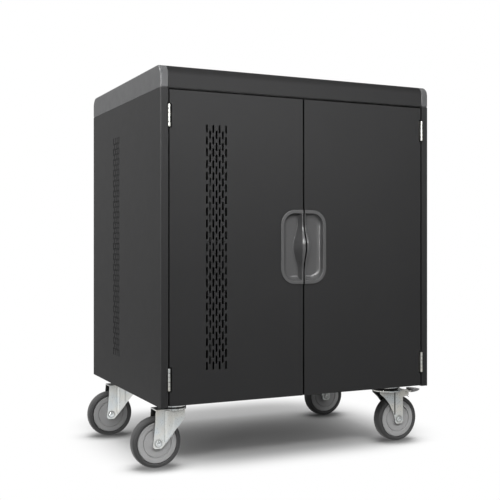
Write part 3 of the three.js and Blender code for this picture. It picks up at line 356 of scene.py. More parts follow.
def tint(tree, source, dark, light, socket):
    """Drives a colour socket from a 0-1 texture, between two colours."""
    node = tree.nodes.new("ShaderNodeValToRGB")
    for stop, position, color in zip(node.color_ramp.elements, NOISE_SPAN, (dark, light)):
        stop.position = position
        stop.color = (*color, 1)
    feed(source, node.inputs["Fac"])
    feed(node.outputs["Color"], socket)


def roughen(tree, shader, source, strength, distance):
    """Gives the shader a fine bump."""
    bump = tree.nodes.new("ShaderNodeBump")
    bump.inputs["Strength"].default_value = strength
    bump.inputs["Distance"].default_value = distance
    feed(source, bump.inputs["Height"])
    feed(bump.outputs["Normal"], shader.inputs["Normal"])


def grained(name, color, roughness, grain, bump, specular=0.5, spread=0.06, gloss=0.04):
    """Paint, plastic or rubber: slow mottling of colour and gloss, and a fine grain."""
    mat, tree, shader = make_material(name, color, roughness, specular=specular)
    dark, light = (tuple(c * k for c in color) for k in (1 - spread, 1 + spread))
    mottle = texture(tree, "ShaderNodeTexNoise", MOTTLE_SCALE, 3.0)
    tint(tree, mottle.outputs["Fac"], dark, light, shader.inputs["Base Color"])
    cloud = texture(tree, "ShaderNodeTexNoise", CLOUD_SCALE, 3.0)
    vary(tree, cloud.outputs["Fac"], roughness, gloss, shader.inputs["Roughness"])
    fine = texture(tree, "ShaderNodeTexNoise", grain)
    roughen(tree, shader, fine.outputs["Fac"], bump, GRAIN_DEPTH)
    return mat


def plated(name, color, roughness, spangle=0.1):
    """Zinc plate: spangled gloss, with faint warm and cool stains."""
    mat, tree, shader = make_material(name, color, roughness, PLATE_METALLIC)
    cool, warm = (tuple(c * k for c, k in zip(color, stain)) for stain in (COOL_STAIN, WARM_STAIN))
    stain = texture(tree, "ShaderNodeTexNoise", STAIN_SCALE, 3.0)
    tint(tree, stain.outputs["Fac"], cool, warm, shader.inputs["Base Color"])
    flakes = texture(tree, "ShaderNodeTexVoronoi", FLAKE_SCALE)
    vary(tree, flakes.outputs["Distance"], roughness, spangle, shader.inputs["Roughness"])
    scratch = texture(tree, "ShaderNodeTexNoise", SCRATCH_SCALE, 3.0)
    roughen(tree, shader, scratch.outputs["Fac"], SCRATCH_BUMP, SCRATCH_DEPTH)
    return mat


def dim_colour(mat, source, span):
    """Multiplies a material's colour by a level that follows a source."""
    tree = mat.node_tree
    socket = tree.nodes["Principled BSDF"].inputs["Base Color"]
    dim = vector_math(tree, "SCALE", socket.links[0].from_socket)
    feed(ramp(tree, source, span), dim.inputs["Scale"])
    feed(dim.outputs[0], socket)


def paint_shade_in_hollows(mat, depth, least):
    """Paints shade into a piece's colour in its hollows, where ambient occlusion finds surfaces near."""
    hollow = mat.node_tree.nodes.new("ShaderNodeAmbientOcclusion")
    hollow.samples = HOLLOW_SHADE_SAMPLES
    hollow.inputs["Distance"].default_value = depth
    dim_colour(mat, hollow.outputs["AO"], (*HOLLOW_SHADE_SPAN, least, 1.0))


def paint_shade_on_tops(mat, least):
    """Paints shade into a piece's colour where its surface turns upwards."""
    tree = mat.node_tree
    facing = tree.nodes.new("ShaderNodeNewGeometry")
    upward = tree.nodes.new("ShaderNodeSeparateXYZ")
    feed(facing.outputs["Normal"], upward.inputs[0])
    dim_colour(mat, upward.outputs["Z"], (*TOP_SHADE_SPAN, 1.0, least))


# Finishes by slot. Grained: roughness, grain, bump, specular level, spread of colour and of gloss.
# Plated: roughness and spangle.
MATERIALS = {
    "black_paint": grained("black_powder_coat", (0.03, 0.03, 0.0305), 0.5, 1500, 0.2, 0.08, 0.02, 0.012),
    "cover_plastic": grained("cover_plastic", (0.0325, 0.0325, 0.033), 0.42, 1900, 0.12, 0.04, 0.02),
    "cap_plastic": grained("cap_plastic", (0.096, 0.097, 0.099), 0.42, 1300, 0.15, 0.15, 0.03),
    "pull_plastic": grained("pull_plastic", (0.083, 0.083, 0.084), 0.2, 1900, 0.01, 0.75, 0.015, 0.01),
    "rack_plastic": grained("rack_plastic", (0.05, 0.05, 0.0515), 0.5, 1300, 0.2),
    "socket_plastic": grained("socket_plastic", (0.04, 0.04, 0.04), 0.45, 1500, 0.15),
    "zinc": plated("zinc_plate", (0.9, 0.9, 0.895), 0.26, 0.06),
    "hinge_steel": plated("hinge_plate", (0.66, 0.65, 0.62), 0.3),
    "hub_plastic": grained("hub_plastic", (0.44, 0.44, 0.4415), 0.5, 1100, 0.15, 0.3, 0.03),
    "tyre_rubber": grained("tyre_rubber", (0.066, 0.066, 0.0665), 0.42, 900, 0.25, 0.26, 0.08),
    "pedal_plastic": grained("pedal_plastic", (0.3, 0.3, 0.302), 0.45, 1200, 0.25),
}
# Painted shade on the cover's upward-facing rounded edges
paint_shade_on_tops(MATERIALS["cover_plastic"], 0.58)
# Painted shade in the hollows of each slot's finish
for slot, depth, least in PAINTED_SHADE_HOLLOWS:
    paint_shade_in_hollows(MATERIALS[slot], depth * MM, least)

# Finishes of single pieces and faces, with copies that carry painted shade and painted sheen
BOLT = plated("bolt_plate", (0.8, 0.81, 0.82), 0.16, 0.03)
# Painted shade round the bolt heads and in the race's hollows
paint_shade_in_hollows(BOLT, 3 * MM, 0.2)
# A darker copy of the zinc plate for the axle washers: painted shade round the nuts
WASHER_PAINTED_SHADE = plated("washer_plate_painted_shade", (0.5, 0.5, 0.5), 0.3)
# A dark copy of the zinc plate: painted shade in the braked fork's pressed groove
FOLD_PAINTED_SHADE = plated("pressed_fold_painted_shade", (0.2, 0.2, 0.2), 0.4)
# A matter, darker copy of the pull plastic for the grip lip's wall: the matte is its finish, the darker colour is
# painted shade
GRIP_PAINTED_SHADE = grained("grip_plastic_painted_shade", (0.066, 0.066, 0.067), 0.5, 1500, 0.15, 0.15, 0.02)
# Painted sheen: lighter, glossier copies of the black paint and the cap plastic for rounded upright edges
BEND_PAINTED_SHEEN = grained("powder_coat_bend_painted_sheen", (0.034, 0.034, 0.0345), 0.38, 1500, 0.1, 0.3, 0.02)
CAP_BEND_PAINTED_SHEEN = grained("cap_bend_painted_sheen", (0.12, 0.121, 0.123), 0.22, 1300, 0.08, 0.6, 0.02)
# The black paint again for shelves and partition, with deep painted shade in its hollows
INNER_PAINTED_SHADE = grained("inner_powder_coat_painted_shade", (0.03, 0.03, 0.0305), 0.5, 1500, 0.2, 0.08, 0.02)
paint_shade_in_hollows(INNER_PAINTED_SHADE, 120 * MM, 0.1)
# Near-black: the spring wire's own colour, and painted shade in the cover groove, pull seam, race slit and outlet
# slits
BLACK_AND_PAINTED_SHADE = grained("black_wire_and_painted_shade", (0.008, 0.008, 0.008), 0.6, 900, 0.1)


def new_object(name, data):
    """A new object in the scene."""
    obj = bpy.data.objects.new(name, data)
    bpy.context.scene.collection.objects.link(obj)
    return obj


def place(name, bm, body, slot, stands_for=(), smooth=35, finish=None):
    """Makes a piece of a bmesh, with its faces turned outwards, and lets it ride on a body."""
    bmesh.ops.recalc_face_normals(bm, faces=bm.faces)
    mesh = bpy.data.meshes.new(name)
    bm.to_mesh(mesh)
    bm.free()
    obj = new_object(name, mesh)
    mesh.materials.clear()
    mesh.materials.append(finish or MATERIALS[slot])
    mesh.polygons.foreach_set("use_smooth", [True] * len(mesh.polygons))
    mesh.set_sharp_from_angle(angle=math.radians(smooth))
    weight = obj.modifiers.new("face_weighted_normals", "WEIGHTED_NORMAL")
    weight.keep_sharp = True
    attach(obj, body)
    if stands_for:
        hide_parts(*stands_for)
    return obj


def place_skin(node, bm, smooth=35):
    """Places a bmesh as the piece that stands for a CAD node."""
    return place(f"{node}_skin", bm, BODY_OF[node], SLOT_OF[node], [node], smooth)


def repaint(obj, finish, chosen):
    """Gives the chosen faces of a piece another finish."""
    obj.data.materials.append(finish)
    for poly in obj.data.polygons:
        if chosen(poly):
            poly.material_index = len(obj.data.materials) - 1


def on_turn(poly):
    """Whether a face lies on a rounded upright edge."""
    return min(abs(poly.normal.x), abs(poly.normal.y)) > TURN_SLOPE


def bevel_sharp(bm, width):
    """Rounds every sharp edge."""
    least = math.radians(BEVEL_ANGLE)
    edges = [e for e in bm.edges if e.is_manifold and e.calc_face_angle(0) > least]
    bmesh.ops.bevel(
        bm, geom=edges, offset=width, segments=BEVEL_SEGMENTS, profile=0.5, affect="EDGES",
        clamp_overlap=True,
    )


def soften(node, width=EDGE_ROUND, smooth=35):
    """A copy of a CAD node with its edges rounded, standing for the node."""
    bm = bmesh.new()
    bm.from_mesh(NODES[node].data)
    bmesh.ops.remove_doubles(bm, verts=bm.verts, dist=1e-6)
    bmesh.ops.dissolve_limit(bm, angle_limit=math.radians(1), verts=bm.verts, edges=bm.edges)
    bevel_sharp(bm, width)
    return place_skin(node, bm, smooth)


def merge_box(bm, one, other):
    """Adds a box to a bmesh, between two opposite corners."""
    middle = (Vector(one) + Vector(other)) / 2
    size = [abs(k) for k in Vector(other) - Vector(one)]
    spot = Matrix.Translation(middle) @ Matrix.Diagonal((*size, 1))
    bmesh.ops.create_cube(bm, size=1, matrix=spot)


def stood_on(centre, axis):
    """A matrix that stands +Z along an axis at a centre."""
    turn = Vector(UPRIGHT).rotation_difference(Vector(axis)).to_matrix().to_4x4()
    return Matrix.Translation(centre) @ turn


def bridge(bm, rows):
    """Adds faces between rows of points, each row closed on itself."""
    count = len(rows[0])
    for here, there in zip(rows, rows[1:]):
        for i in range(count):
            j = (i + 1) % count
            bm.faces.new((here[i], here[j], there[j], there[i]))


def revolve(bm, profile, centre, axis, segments=64):
    """Adds a closed ring of (radius, along) points turned about an axis through the centre."""
    spot = stood_on(centre, axis)
    rings = []
    for k in range(segments):
        angle = 2 * math.pi * k / segments
        spin = Vector((math.cos(angle), math.sin(angle), 0))
        rings.append([bm.verts.new(spot @ (spin * r + Vector((0, 0, h)))) for r, h in profile])
    bridge(bm, [*rings, rings[0]])


def mirrored(profile, way):
    """A profile with its heights turned over for way -1."""
    return [(p, way * q) for p, q in profile]


def arc(cx, cy, radius, start, end, steps):
    """Points on an arc, in degrees."""
    angles = [math.radians(start + (end - start) * i / steps) for i in range(steps + 1)]
    return [(cx + radius * math.cos(a), cy + radius * math.sin(a)) for a in angles]


def skin_rings(bm, rings):
    """Adds faces over rings of equally many points, and closes both ends."""
    rows = [[bm.verts.new(p) for p in ring] for ring in rings]
    bridge(bm, rows)
    bm.faces.new(rows[0])
    bm.faces.new(rows[-1])


def slot_outline(u, v):
    """One round-ended vent slot about a centre."""
    half = SLOT_LENGTH / 2 - SLOT_WIDTH / 2
    radius = SLOT_WIDTH / 2
    upper = arc(u, v + half, radius, 0, 180, SLOT_END_STEPS)
    lower = arc(u, v - half, radius, 180, 360, SLOT_END_STEPS)
    return upper + lower


def slot_block(across, middle):
    """The staggered block of slots about its middle."""
    outlines = []
    for column in range(SLOT_COLUMNS):
        rows = SLOT_ROWS - column % 2
        for row in range(rows):
            u = (column - (SLOT_COLUMNS - 1) / 2) * SLOT_PITCH_ACROSS
            v = (row - (rows - 1) / 2) * SLOT_PITCH_UP
            outlines.append(slot_outline(across + u, middle + v))
    return outlines


def pierced_sheet(outline, holes, thickness, edge, matrix):
    """A bmesh of a flat sheet with holes, drawn in its own XY and then placed by the matrix."""
    curve = bpy.data.curves.new("sheet_outline", "CURVE")
    curve.dimensions = "2D"
    curve.fill_mode = "BOTH"
    curve.extrude = thickness / 2 - edge
    curve.bevel_depth = edge
    curve.bevel_resolution = 1
    curve.offset = -edge
    for points in [outline, *holes]:
        spline = curve.splines.new("POLY")
        spline.points.add(len(points) - 1)
        for point, (u, v) in zip(spline.points, points):
            point.co = (u, v, 0, 1)
        spline.use_cyclic_u = True
    holder = new_object("sheet_outline", curve)
    evaluated = holder.evaluated_get(bpy.context.evaluated_depsgraph_get())
    mesh = bpy.data.meshes.new_from_object(evaluated)
    bm = bmesh.new()
    bm.from_mesh(mesh)
    bpy.data.objects.remove(holder)
    bpy.data.curves.remove(curve)
    bpy.data.meshes.remove(mesh)
    bmesh.ops.remove_doubles(bm, verts=bm.verts, dist=1e-6)
    bmesh.ops.transform(bm, matrix=matrix, verts=bm.verts)
    return bm


def upright_plane(origin, across, out):
    """A matrix whose X runs along across, Y up and Z along out."""
    columns = Matrix((Vector(across), Vector(UPRIGHT), Vector(out))).transposed()
    return Matrix.Translation(origin) @ columns.to_4x4()


def hinge_notches(side, base):
    """Low and high end of the notch round each hinge, above a base, the upper one first."""
    notches = []
    for level in ("upper", "lower"):
        leaf_lo, leaf_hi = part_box(f"{side}_{level}_hinge_frame_leaf")
        notches.append((leaf_lo.z - NOTCH_GAP - base, leaf_hi.z + NOTCH_GAP - base))
    return notches


def build_door(side):
    """A front door: pierced face sheet with a rounded edge, and its returns."""
    lo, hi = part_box(f"{side}_door")
    pull_lo, pull_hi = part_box(f"{side}_pull")
    sign = 1 if side == "left" else -1
    free = hi.x - SEAM_EASE if side == "left" else lo.x + SEAM_EASE
    fixed = lo.x if side == "left" else hi.x
    width = abs(free - fixed)
    height = hi.z - lo.z
    middle = (pull_lo.z + pull_hi.z) / 2 - lo.z
    reach = pull_hi.x - pull_lo.x - SEAM_EASE
    gap = PULL_SEAT - EDGE_ROUND
    half = (pull_hi.z - pull_lo.z) / 2 - gap
    radius = PULL_RADIUS - gap
    corner = width - reach + gap + radius
    outline = [(0, 0), (width, 0), (width, middle - half)]
    outline += arc(corner, middle - half + radius, radius, 270, 180, SEAT_STEPS)
    outline += arc(corner, middle + half - radius, radius, 180, 90, SEAT_STEPS)
    outline += [(width, middle + half), (width, height), (0, height)]
    notch = abs(JOINTS[f"{side}_door_hinge"]["pos_m"][0] - fixed) + NOTCH_REACH
    notches = hinge_notches(side, lo.z)
    for low, high in notches:
        outline += [(0, high), (notch, high), (notch, low), (0, low)]
    holes = []
    if side == "left":
        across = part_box("left_side_panel")[0].x + DOOR_VENT_FROM_SIDE - lo.x
        holes = slot_block(across, middle)
    spot = upright_plane((fixed, lo.y + SHEET / 2, lo.z), (sign, 0, 0), (0, -sign, 0))
    bm = pierced_sheet(outline, holes, SHEET, EDGE_ROUND, spot)
    back = lo.y + SHEET
    hinge_in, free_in = fixed + sign * SHEET, free - sign * SHEET
    for low, high in ((0, middle - half), (middle + half, height)):
        merge_box(bm, (free, back, lo.z + low), (free_in, hi.y, lo.z + high))
    levels = [0, *notches[1], *notches[0], height]
    for low, high in zip(levels[::2], levels[1::2]):
        merge_box(bm, (fixed, back, lo.z + low), (hinge_in, hi.y, lo.z + high))
    merge_box(bm, (hinge_in, back, lo.z), (free_in, hi.y, lo.z + SHEET))
    merge_box(bm, (hinge_in, back, hi.z - SHEET), (free_in, hi.y, hi.z))
    merge_box(bm, (hinge_in, hi.y - SHEET, hi.z - DOOR_TOP_RETURN), (free_in, hi.y, hi.z - SHEET))
    place_skin(f"{side}_door", bm)


def build_side(side):
    """A side panel: pierced outer sheet, folded front stile and folded rear flange."""
    lo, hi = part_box(f"{side}_side_panel")
    sign = 1 if side == "left" else -1
    outer = lo.x if side == "left" else hi.x
    y0, y1 = lo.y + BEND_RADIUS, hi.y - BEND_RADIUS
    length = y1 - y0
    height = hi.z - lo.z
    holes = []
    if side == "left":
        pull_lo, pull_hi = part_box("left_pull")
        holes = slot_block(lo.y + SIDE_VENT_FROM_FRONT - y0, (pull_lo.z + pull_hi.z) / 2 - lo.z)
    spot = upright_plane((outer + sign * SHEET / 2, y0, lo.z), CROSSWISE, (1, 0, 0))
    outline = [(0, 0), (length, 0), (length, height), (0, height)]
    bm = pierced_sheet(outline, holes, SHEET, 0, spot)

    def fold(edge, way, width, back, low, high):
        """Adds a folded edge, from the outer face round to the end of its return."""
        bend = BEND_RADIUS
        turn = [(bend - p, bend - q) for p, q in arc(0, 0, bend, 0, 90, BEND_STEPS)]
        inside = [(bend - p, bend - q) for p, q in arc(0, 0, bend - SHEET, 90, 0, BEND_STEPS - 2)]
        ends = [(width, 0), (width, back), (width - SHEET, back), (width - SHEET, SHEET)]
        path = [(outer + sign * p, edge + way * q) for p, q in turn + ends + inside]
        skin_rings(bm, [[(x, y, z) for x, y in path] for z in (low, high)])

    notch = abs(JOINTS[f"{side}_door_hinge"]["pos_m"][0] - outer) - NOTCH_REACH
    upper, lower = hinge_notches(side, 0)
    levels = [lo.z, *lower, *upper, hi.z]
    for k, (low, high) in enumerate(zip(levels, levels[1:])):
        width, back = (notch, STILE_STUB) if k % 2 else (STILE_WIDTH, STILE_RETURN)
        fold(lo.y, 1, width, back, low, high)
    fold(hi.y, -1, REAR_FLANGE, REAR_RETURN, lo.z, hi.z)
    skin = place(f"{side}_side_skin", bm, "cabinet", "black_paint", [f"{side}_side_panel"], smooth=50)
    # Painted sheen on the rounded bends of the stile and flange
    repaint(skin, BEND_PAINTED_SHEEN, on_turn)


def cover_outline(inset):
    """The top cover's outline in YZ, drawn in by an inset."""
    lo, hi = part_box("top_cover")
    front, back, top = lo.y + inset, hi.y - inset, hi.z - inset
    radius = COVER_ROUND - inset
    shelf = lo.z + COVER_GROOVE + inset
    points = [(front + COVER_GROOVE_DEEP, lo.z), (back - COVER_GROOVE_DEEP, lo.z)]
    points += [(back - COVER_GROOVE_DEEP, shelf), (back, shelf)]
    points += arc(back - radius, top - radius, radius, 0, 90, COVER_STEPS)
    points += arc(front + radius, top - radius, radius, 90, 180, COVER_STEPS)
    points += [(front, shelf), (front + COVER_GROOVE_DEEP, shelf)]
    return points


def cover_loft(stations):
    """A bmesh over the cover's outline at stations along X, each drawn in by its own inset."""
    bm = bmesh.new()
    skin_rings(bm, [[(x, y, z) for y, z in cover_outline(inset)] for x, inset in stations])
    return bm


def build_cover():
    """Top cover, with painted shade on the groove under its edge."""
    lo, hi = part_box("top_cover")
    bm = cover_loft([(lo.x, 0), (hi.x, 0)])
    cover = place_skin("top_cover", bm, smooth=40)
    # Painted shade on the groove's faces
    repaint(cover, BLACK_AND_PAINTED_SHADE, lambda poly: poly.center.z < lo.z + COVER_GROOVE + FACE_SLACK)


def build_cap(side):
    """Moulded end cap, eased at its seam and rounded at its outer edge."""
    lo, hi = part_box(f"{side}_end_cap")
    sign = -1 if side == "left" else 1
    start, end = (hi.x, lo.x) if side == "left" else (lo.x, hi.x)
    stations = [(start + sign * along, inset) for along, inset in CAP_SEAM]
    for i in range(CAP_STEPS + 1):
        angle = math.pi / 2 * i / CAP_STEPS
        stations.append((end - sign * CAP_ROUND * (1 - math.sin(angle)), CAP_ROUND * (1 - math.cos(angle))))
    bm = cover_loft(stations)
    cap = place_skin(f"{side}_end_cap", bm, smooth=50)
    # Painted sheen on the cap's rounded corners
    repaint(cap, CAP_BEND_PAINTED_SHEEN, on_turn)


def cup_depth(inset):
    """Depth of the pull's cup behind the door's face, by distance in from its outline."""
    edge = PULL_RIM_EDGE
    if inset < edge:
        return -PULL_RIM_PROUD + edge - math.sqrt(max(0, edge**2 - (edge - inset) ** 2))
    if inset < PULL_RIM - edge:
        return -PULL_RIM_PROUD
    if inset < PULL_RIM:
        t = inset - (PULL_RIM - edge)
        return -PULL_RIM_PROUD + edge - math.sqrt(max(0, edge**2 - t**2))
    left = max(0, CUP_FILLET - (inset - PULL_RIM))
    return CUP_DEPTH - CUP_FILLET + math.sqrt(CUP_FILLET**2 - left**2)


def lip_depth(u, v):
    """Front of the grip lip at a distance from the meeting edge and a height from the middle."""
    along = min(1, abs(v) / (LIP_SPAN / 2))
    swell = 0.5 * (1 + math.cos(math.pi * along))
    width = LIP_WIDTH + LIP_SWELL * swell
    front = -PULL_RIM_PROUD - LIP_RISE * swell
    crest = LIP_CREST * width
    if u < crest:
        return front
    if u < width:
        t = (u - crest) / (width - crest)
        return front + (width - crest) * (1 - math.sqrt(max(0, 1 - t * t))) * LIP_FALL
    start = front + (width - crest) * LIP_FALL
    flare = LIP_FLARE * (1 + LIP_FLARE_SWELL * swell)
    return start + (CUP_DEPTH - start) * (u - width) / flare


def soft_min(a, b, blend):
    """The nearer of two depths, with a small fillet where they meet."""
    h = max(blend - abs(a - b), 0) / blend
    return min(a, b) - h * h * blend / 4


def pull_ring(inset, reach, half):
    """The pull's half outline drawn in by an inset, from end to end of the meeting edge."""
    radius = max(PULL_RADIUS - inset, 0)
    corner_u = reach - max(PULL_RADIUS, inset)
    corner_v = half - max(PULL_RADIUS, inset)
    flat = [corner_u * (i / END_POINTS) ** END_CROWDING for i in range(END_POINTS)]
    ring = [(u, -half + inset) for u in flat]
    ring += arc(corner_u, -corner_v, radius, -90, 0, CORNER_STEPS)
    ring += [(corner_u + radius, corner_v * (2 * i / SIDE_POINTS - 1)) for i in range(1, SIDE_POINTS)]
    ring += arc(corner_u, corner_v, radius, 0, 90, CORNER_STEPS)
    ring += [(u, half - inset) for u in reversed(flat)]
    return ring


def pull_insets(reach):
    """Where the pull's rings lie: closest at the grip lip, the fillet and the rim's edges."""
    insets = [reach - i * 0.6 * MM for i in range(33)]
    insets += [insets[-1] - i * 2 * MM for i in range(1, 10)]
    insets += [PULL_RIM + CUP_FILLET * (1 - math.sin(math.radians(5 * i))) for i in range(18)]
    insets += [k * MM for k in (9, 8.9, 8.7, 8.4, 8, 5, 2, 1, 0.6, 0.3, 0.1, 0)]
    return sorted({k for k in insets if k <= reach}, reverse=True)


def build_pull(side):
    """A half-cup pull with its rim, filleted cup and arched grip lip, as one closed solid."""
    lo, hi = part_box(f"{side}_pull")
    sign = -1 if side == "left" else 1
    edge = hi.x - SEAM_EASE if side == "left" else lo.x + SEAM_EASE
    reach = hi.x - lo.x - SEAM_EASE
    half = (hi.z - lo.z) / 2
    middle = (lo.z + hi.z) / 2
    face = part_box(f"{side}_door")[0].y
    rings = []
    for inset in pull_insets(reach):
        depth = cup_depth(inset)
        outline = pull_ring(inset, reach, half)
        rings.append([(u, soft_min(depth, lip_depth(u, v), LIP_BLEND), v) for u, v in outline])
    back = [(0, -PULL_SEAT_GAP), (PULL_SEAT, -PULL_SEAT_GAP), (PULL_SEAT, CUP_BACK), (reach, CUP_BACK)]
    for inset, depth in back:
        rings.append([(u, depth, v) for u, v in pull_ring(inset, reach, half)])
    bm = bmesh.new()
    rows = [[bm.verts.new((edge + sign * u, face + y, middle + v)) for u, y, v in ring] for ring in rings]
    for here, there in zip(rows, rows[1:]):
        for i in range(len(here) - 1):
            bm.faces.new((here[i], here[i + 1], there[i + 1], there[i]))
    bmesh.ops.remove_doubles(bm, verts=bm.verts, dist=1e-6)
    rim = [e for e in bm.edges if e.is_boundary]
    bmesh.ops.holes_fill(bm, edges=rim, sides=0)
    obj = place_skin(f"{side}_pull", bm, smooth=60)

    def from_seam(poly):
        """How far a face is from the meeting edge."""
        return sign * (poly.center.x - edge)

    # The grip lip's wall: matte, and darker as painted shade
    repaint(obj, GRIP_PAINTED_SHADE, lambda poly: from_seam(poly) < GRIP_REACH and sign * poly.normal.x > GRIP_SLOPE)
    # Painted shade on the faces along the meeting edge
    repaint(obj, BLACK_AND_PAINTED_SHADE, lambda poly: from_seam(poly) < SEAM_SLACK)


def build_leaf(node, first, axis, inward):
    """A hinge leaf and its round knuckles, every second one from the first."""
    lo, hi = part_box(node)
    pitch = (hi.z - lo.z) / KNUCKLES
    radius, edge = KNUCKLE_RADIUS, KNUCKLE_EDGE
    bm = bmesh.new()
    for k in range(first, KNUCKLES, 2):
        z0, z1 = lo.z + k * pitch + KNUCKLE_GAP, lo.z + (k + 1) * pitch - KNUCKLE_GAP
        profile = [(KNUCKLE_BORE, z0), (radius - edge, z0), (radius, z0 + edge)]
        profile += [(radius, z1 - edge), (radius - edge, z1), (KNUCKLE_BORE, z1)]
        revolve(bm, profile, (axis[0], axis[1], 0), UPRIGHT, 28)
    near, far = (axis[0] + inward * k for k in LEAF_FROM_AXIS)
    front = axis[1] + radius - LEAF_SINK
    merge_box(bm, (near, front, lo.z + LEAF_END_GAP), (far, hi.y, hi.z - LEAF_END_GAP))
    place_skin(node, bm, smooth=40)


def build_pin(node, axis):
    """A hinge pin with slightly domed ends."""
    lo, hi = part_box(node)
    bm = bmesh.new()
    dome = arc(0, 0, PIN_RADIUS, 0, 80, 5)
    profile = [(r, hi.z + h * PIN_DOME) for r, h in dome]
    profile += [(r, lo.z - h * PIN_DOME) for r, h in reversed(dome)]
    revolve(bm, profile, (axis[0], axis[1], 0), UPRIGHT, 20)
    place_skin(node, bm, smooth=50)


def build_hinge(side, level):
    """A butt hinge; the leaves and the pin each stay on their own body."""
    prefix = f"{side}_{level}_hinge"
    axis = JOINTS[f"{side}_door_hinge"]["pos_m"]
    inward = 1 if side == "left" else -1
    build_leaf(f"{prefix}_frame_leaf", 0, axis, -inward)
    build_leaf(f"{prefix}_door_leaf", 1, axis, inward)
    build_pin(f"{prefix}_pin", axis)


def build_tyre(name):
    """Tyre with rounded shoulders."""
    lo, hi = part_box(f"{name}_tyre")
    radius = (hi.z - lo.z) / 2
    half = (hi.y - lo.y) / 2
    r = TYRE_ROUND
    upper = [(0, 2.0 * MM), (1.0 * MM, 1.2 * MM), (3 * MM, 0.6 * MM)]
    upper = [(HUB_RADIUS + out, half - down) for out, down in upper]
    upper += [(radius - TYRE_CROWN - r + p, half - r + q) for p, q in arc(0, 0, r, 90, 8, 8)]
    upper += [(radius, half - TREAD_FLAT * r), (radius, 0)]
    bm = bmesh.new()
    revolve(bm, upper + mirrored(reversed(upper[:-1]), -1), (lo + hi) / 2, CROSSWISE, 96)
    place_skin(f"{name}_tyre", bm, smooth=40)


def build_hub(name):
    """Moulded hub: a boss, a dished face, a ring groove and a rim."""
    lo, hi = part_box(f"{name}_tyre")
    face, groove, rim = HUB_FACE, HUB_GROOVE, HUB_RADIUS
    dish = face - HUB_DISH
    floor = dish - HUB_GROOVE_DEEP
    upper = [
        (BOSS_BORE, BOSS_FACE), (BOSS_RADIUS, BOSS_FACE), (BOSS_RADIUS + 0.8 * MM, BOSS_FACE - 0.6 * MM),
        (BOSS_RADIUS + 1.4 * MM, dish + 0.6 * MM), (BOSS_RADIUS + 2.4 * MM, dish),
        (groove - 2.2 * MM, dish), (groove - 1.7 * MM, floor), (groove - 0.1 * MM, floor),
        (groove + 0.3 * MM, face - 0.3 * MM), (groove + 0.9 * MM, face),
        (rim - 2.6 * MM, face), (rim - 1.5 * MM, face - 0.3 * MM), (rim - 0.7 * MM, face - 1.1 * MM),
    ]
    bm = bmesh.new()
    revolve(bm, upper + mirrored(reversed(upper), -1), (lo + hi) / 2, CROSSWISE, 96)
    place_skin(f"{name}_hub", bm, smooth=30)


def add_hex(bm, centre, axis, height):
    """Adds a chamfered hexagon head, standing on the centre along the axis."""
    spot = stood_on(centre, axis)
    corner = NUT_ACROSS / 2 / math.cos(math.pi / 6)
    turns = [math.pi / 3 * k for k in range(6)]
    rings = []
    for scale, h in ((1, 0), (1, height * (1 - NUT_CHAMFER)), (NUT_TOP, height)):
        r = corner * scale
        rings.append([spot @ Vector((r * math.cos(a), r * math.sin(a), h)) for a in turns])
    skin_rings(bm, rings)


def rib_ring(front):
    """A fork's rib from its back to a front edge: (out from the swivel, proud of the leg)."""
    ring = [(RIB_BACK, -RIB_ROOT)]
    for i in range(RIB_STEPS + 1):
        x = RIB_BACK + (front - RIB_BACK) * i / RIB_STEPS
        t = (RIB_BACK - x) / (RIB_BACK - RIB_FRONT)
        bend = abs(RIB_CREST - t) / (RIB_CREST if t < RIB_CREST else 1 - RIB_CREST)
        ring.append((x, RIB_PROUD * max(0, math.cos(math.pi / 2 * bend)) ** RIB_ROUND))
    ring.append((front, -RIB_ROOT))
    return ring


def build_ribs(name, pivot, top):
    """Pressed rib on the outside of each leg of a plain fork, cut off along its raked front."""
    lo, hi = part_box(f"{name}_caster_fork")
    middle = (lo.y + hi.y) / 2
    for side, end in ((-1, "front"), (1, "back")):
        rings = []
        for k in range(RIB_LEVELS + 1):
            down = RIB_TOP + (RIB_LOW - RIB_TOP) * k / RIB_LEVELS
            share = (down - RAKE_TOP[1]) / (RAKE_LOW[1] - RAKE_TOP[1])
            raked = RAKE_TOP[0] + (RAKE_LOW[0] - RAKE_TOP[0]) * share + RAKE_MARGIN
            ring = rib_ring(max(RIB_FRONT, raked))
            rings.append([(pivot.x - x, middle + side * (LEG_OUTSIDE + y), top - down) for x, y in ring])
        bm = bmesh.new()
        skin_rings(bm, rings)
        place(f"{name}_{end}_rib", bm, f"{name}_swivel", "zinc", smooth=50)


def darken_fork(name, fork, pivot, top):
    """Paints shade into the slit round the fork's race, and into the pressed groove of a braked fork."""
    lo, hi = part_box(f"{name}_caster_fork")
    middle = (lo.y + hi.y) / 2

    def in_slit(poly):
        """Whether a face lies on the wall round the race."""
        out = math.hypot(poly.center.x - pivot.x, poly.center.y - pivot.y)
        on_wall = abs(out - RACE_WALL) < RACE_WALL_SPREAD and abs(poly.normal.z) < WALL_SLOPE
        return on_wall and poly.center.z > top - RACE_LEVELS[3]

    def in_groove(poly):
        """Whether a face lies in the pressed groove."""
        depth = LEG_OUTSIDE - abs(poly.center.y - middle)
        across = abs(poly.center.x - pivot.x - FOLD_FROM_PIVOT)
        return name.endswith("right") and across < FOLD_REACH and FACE_SLACK < depth < FOLD_DEPTH

    # Painted shade on the wall of the slit round the race
    repaint(fork, BLACK_AND_PAINTED_SHADE, in_slit)
    # Painted shade in the pressed groove
    repaint(fork, FOLD_PAINTED_SHADE, in_groove)


def rounded_rim(radius, high, low, edge):
    """The outer side of a flat ring with rounded edges, as (radius, along) points downwards."""
    upper = [(radius - edge + p, high - edge + q) for p, q in arc(0, 0, edge, 90, 0, 4)]
    lower = [(radius - edge + p, low + edge + q) for p, q in arc(0, 0, edge, 0, -90, 4)]
    return upper + lower


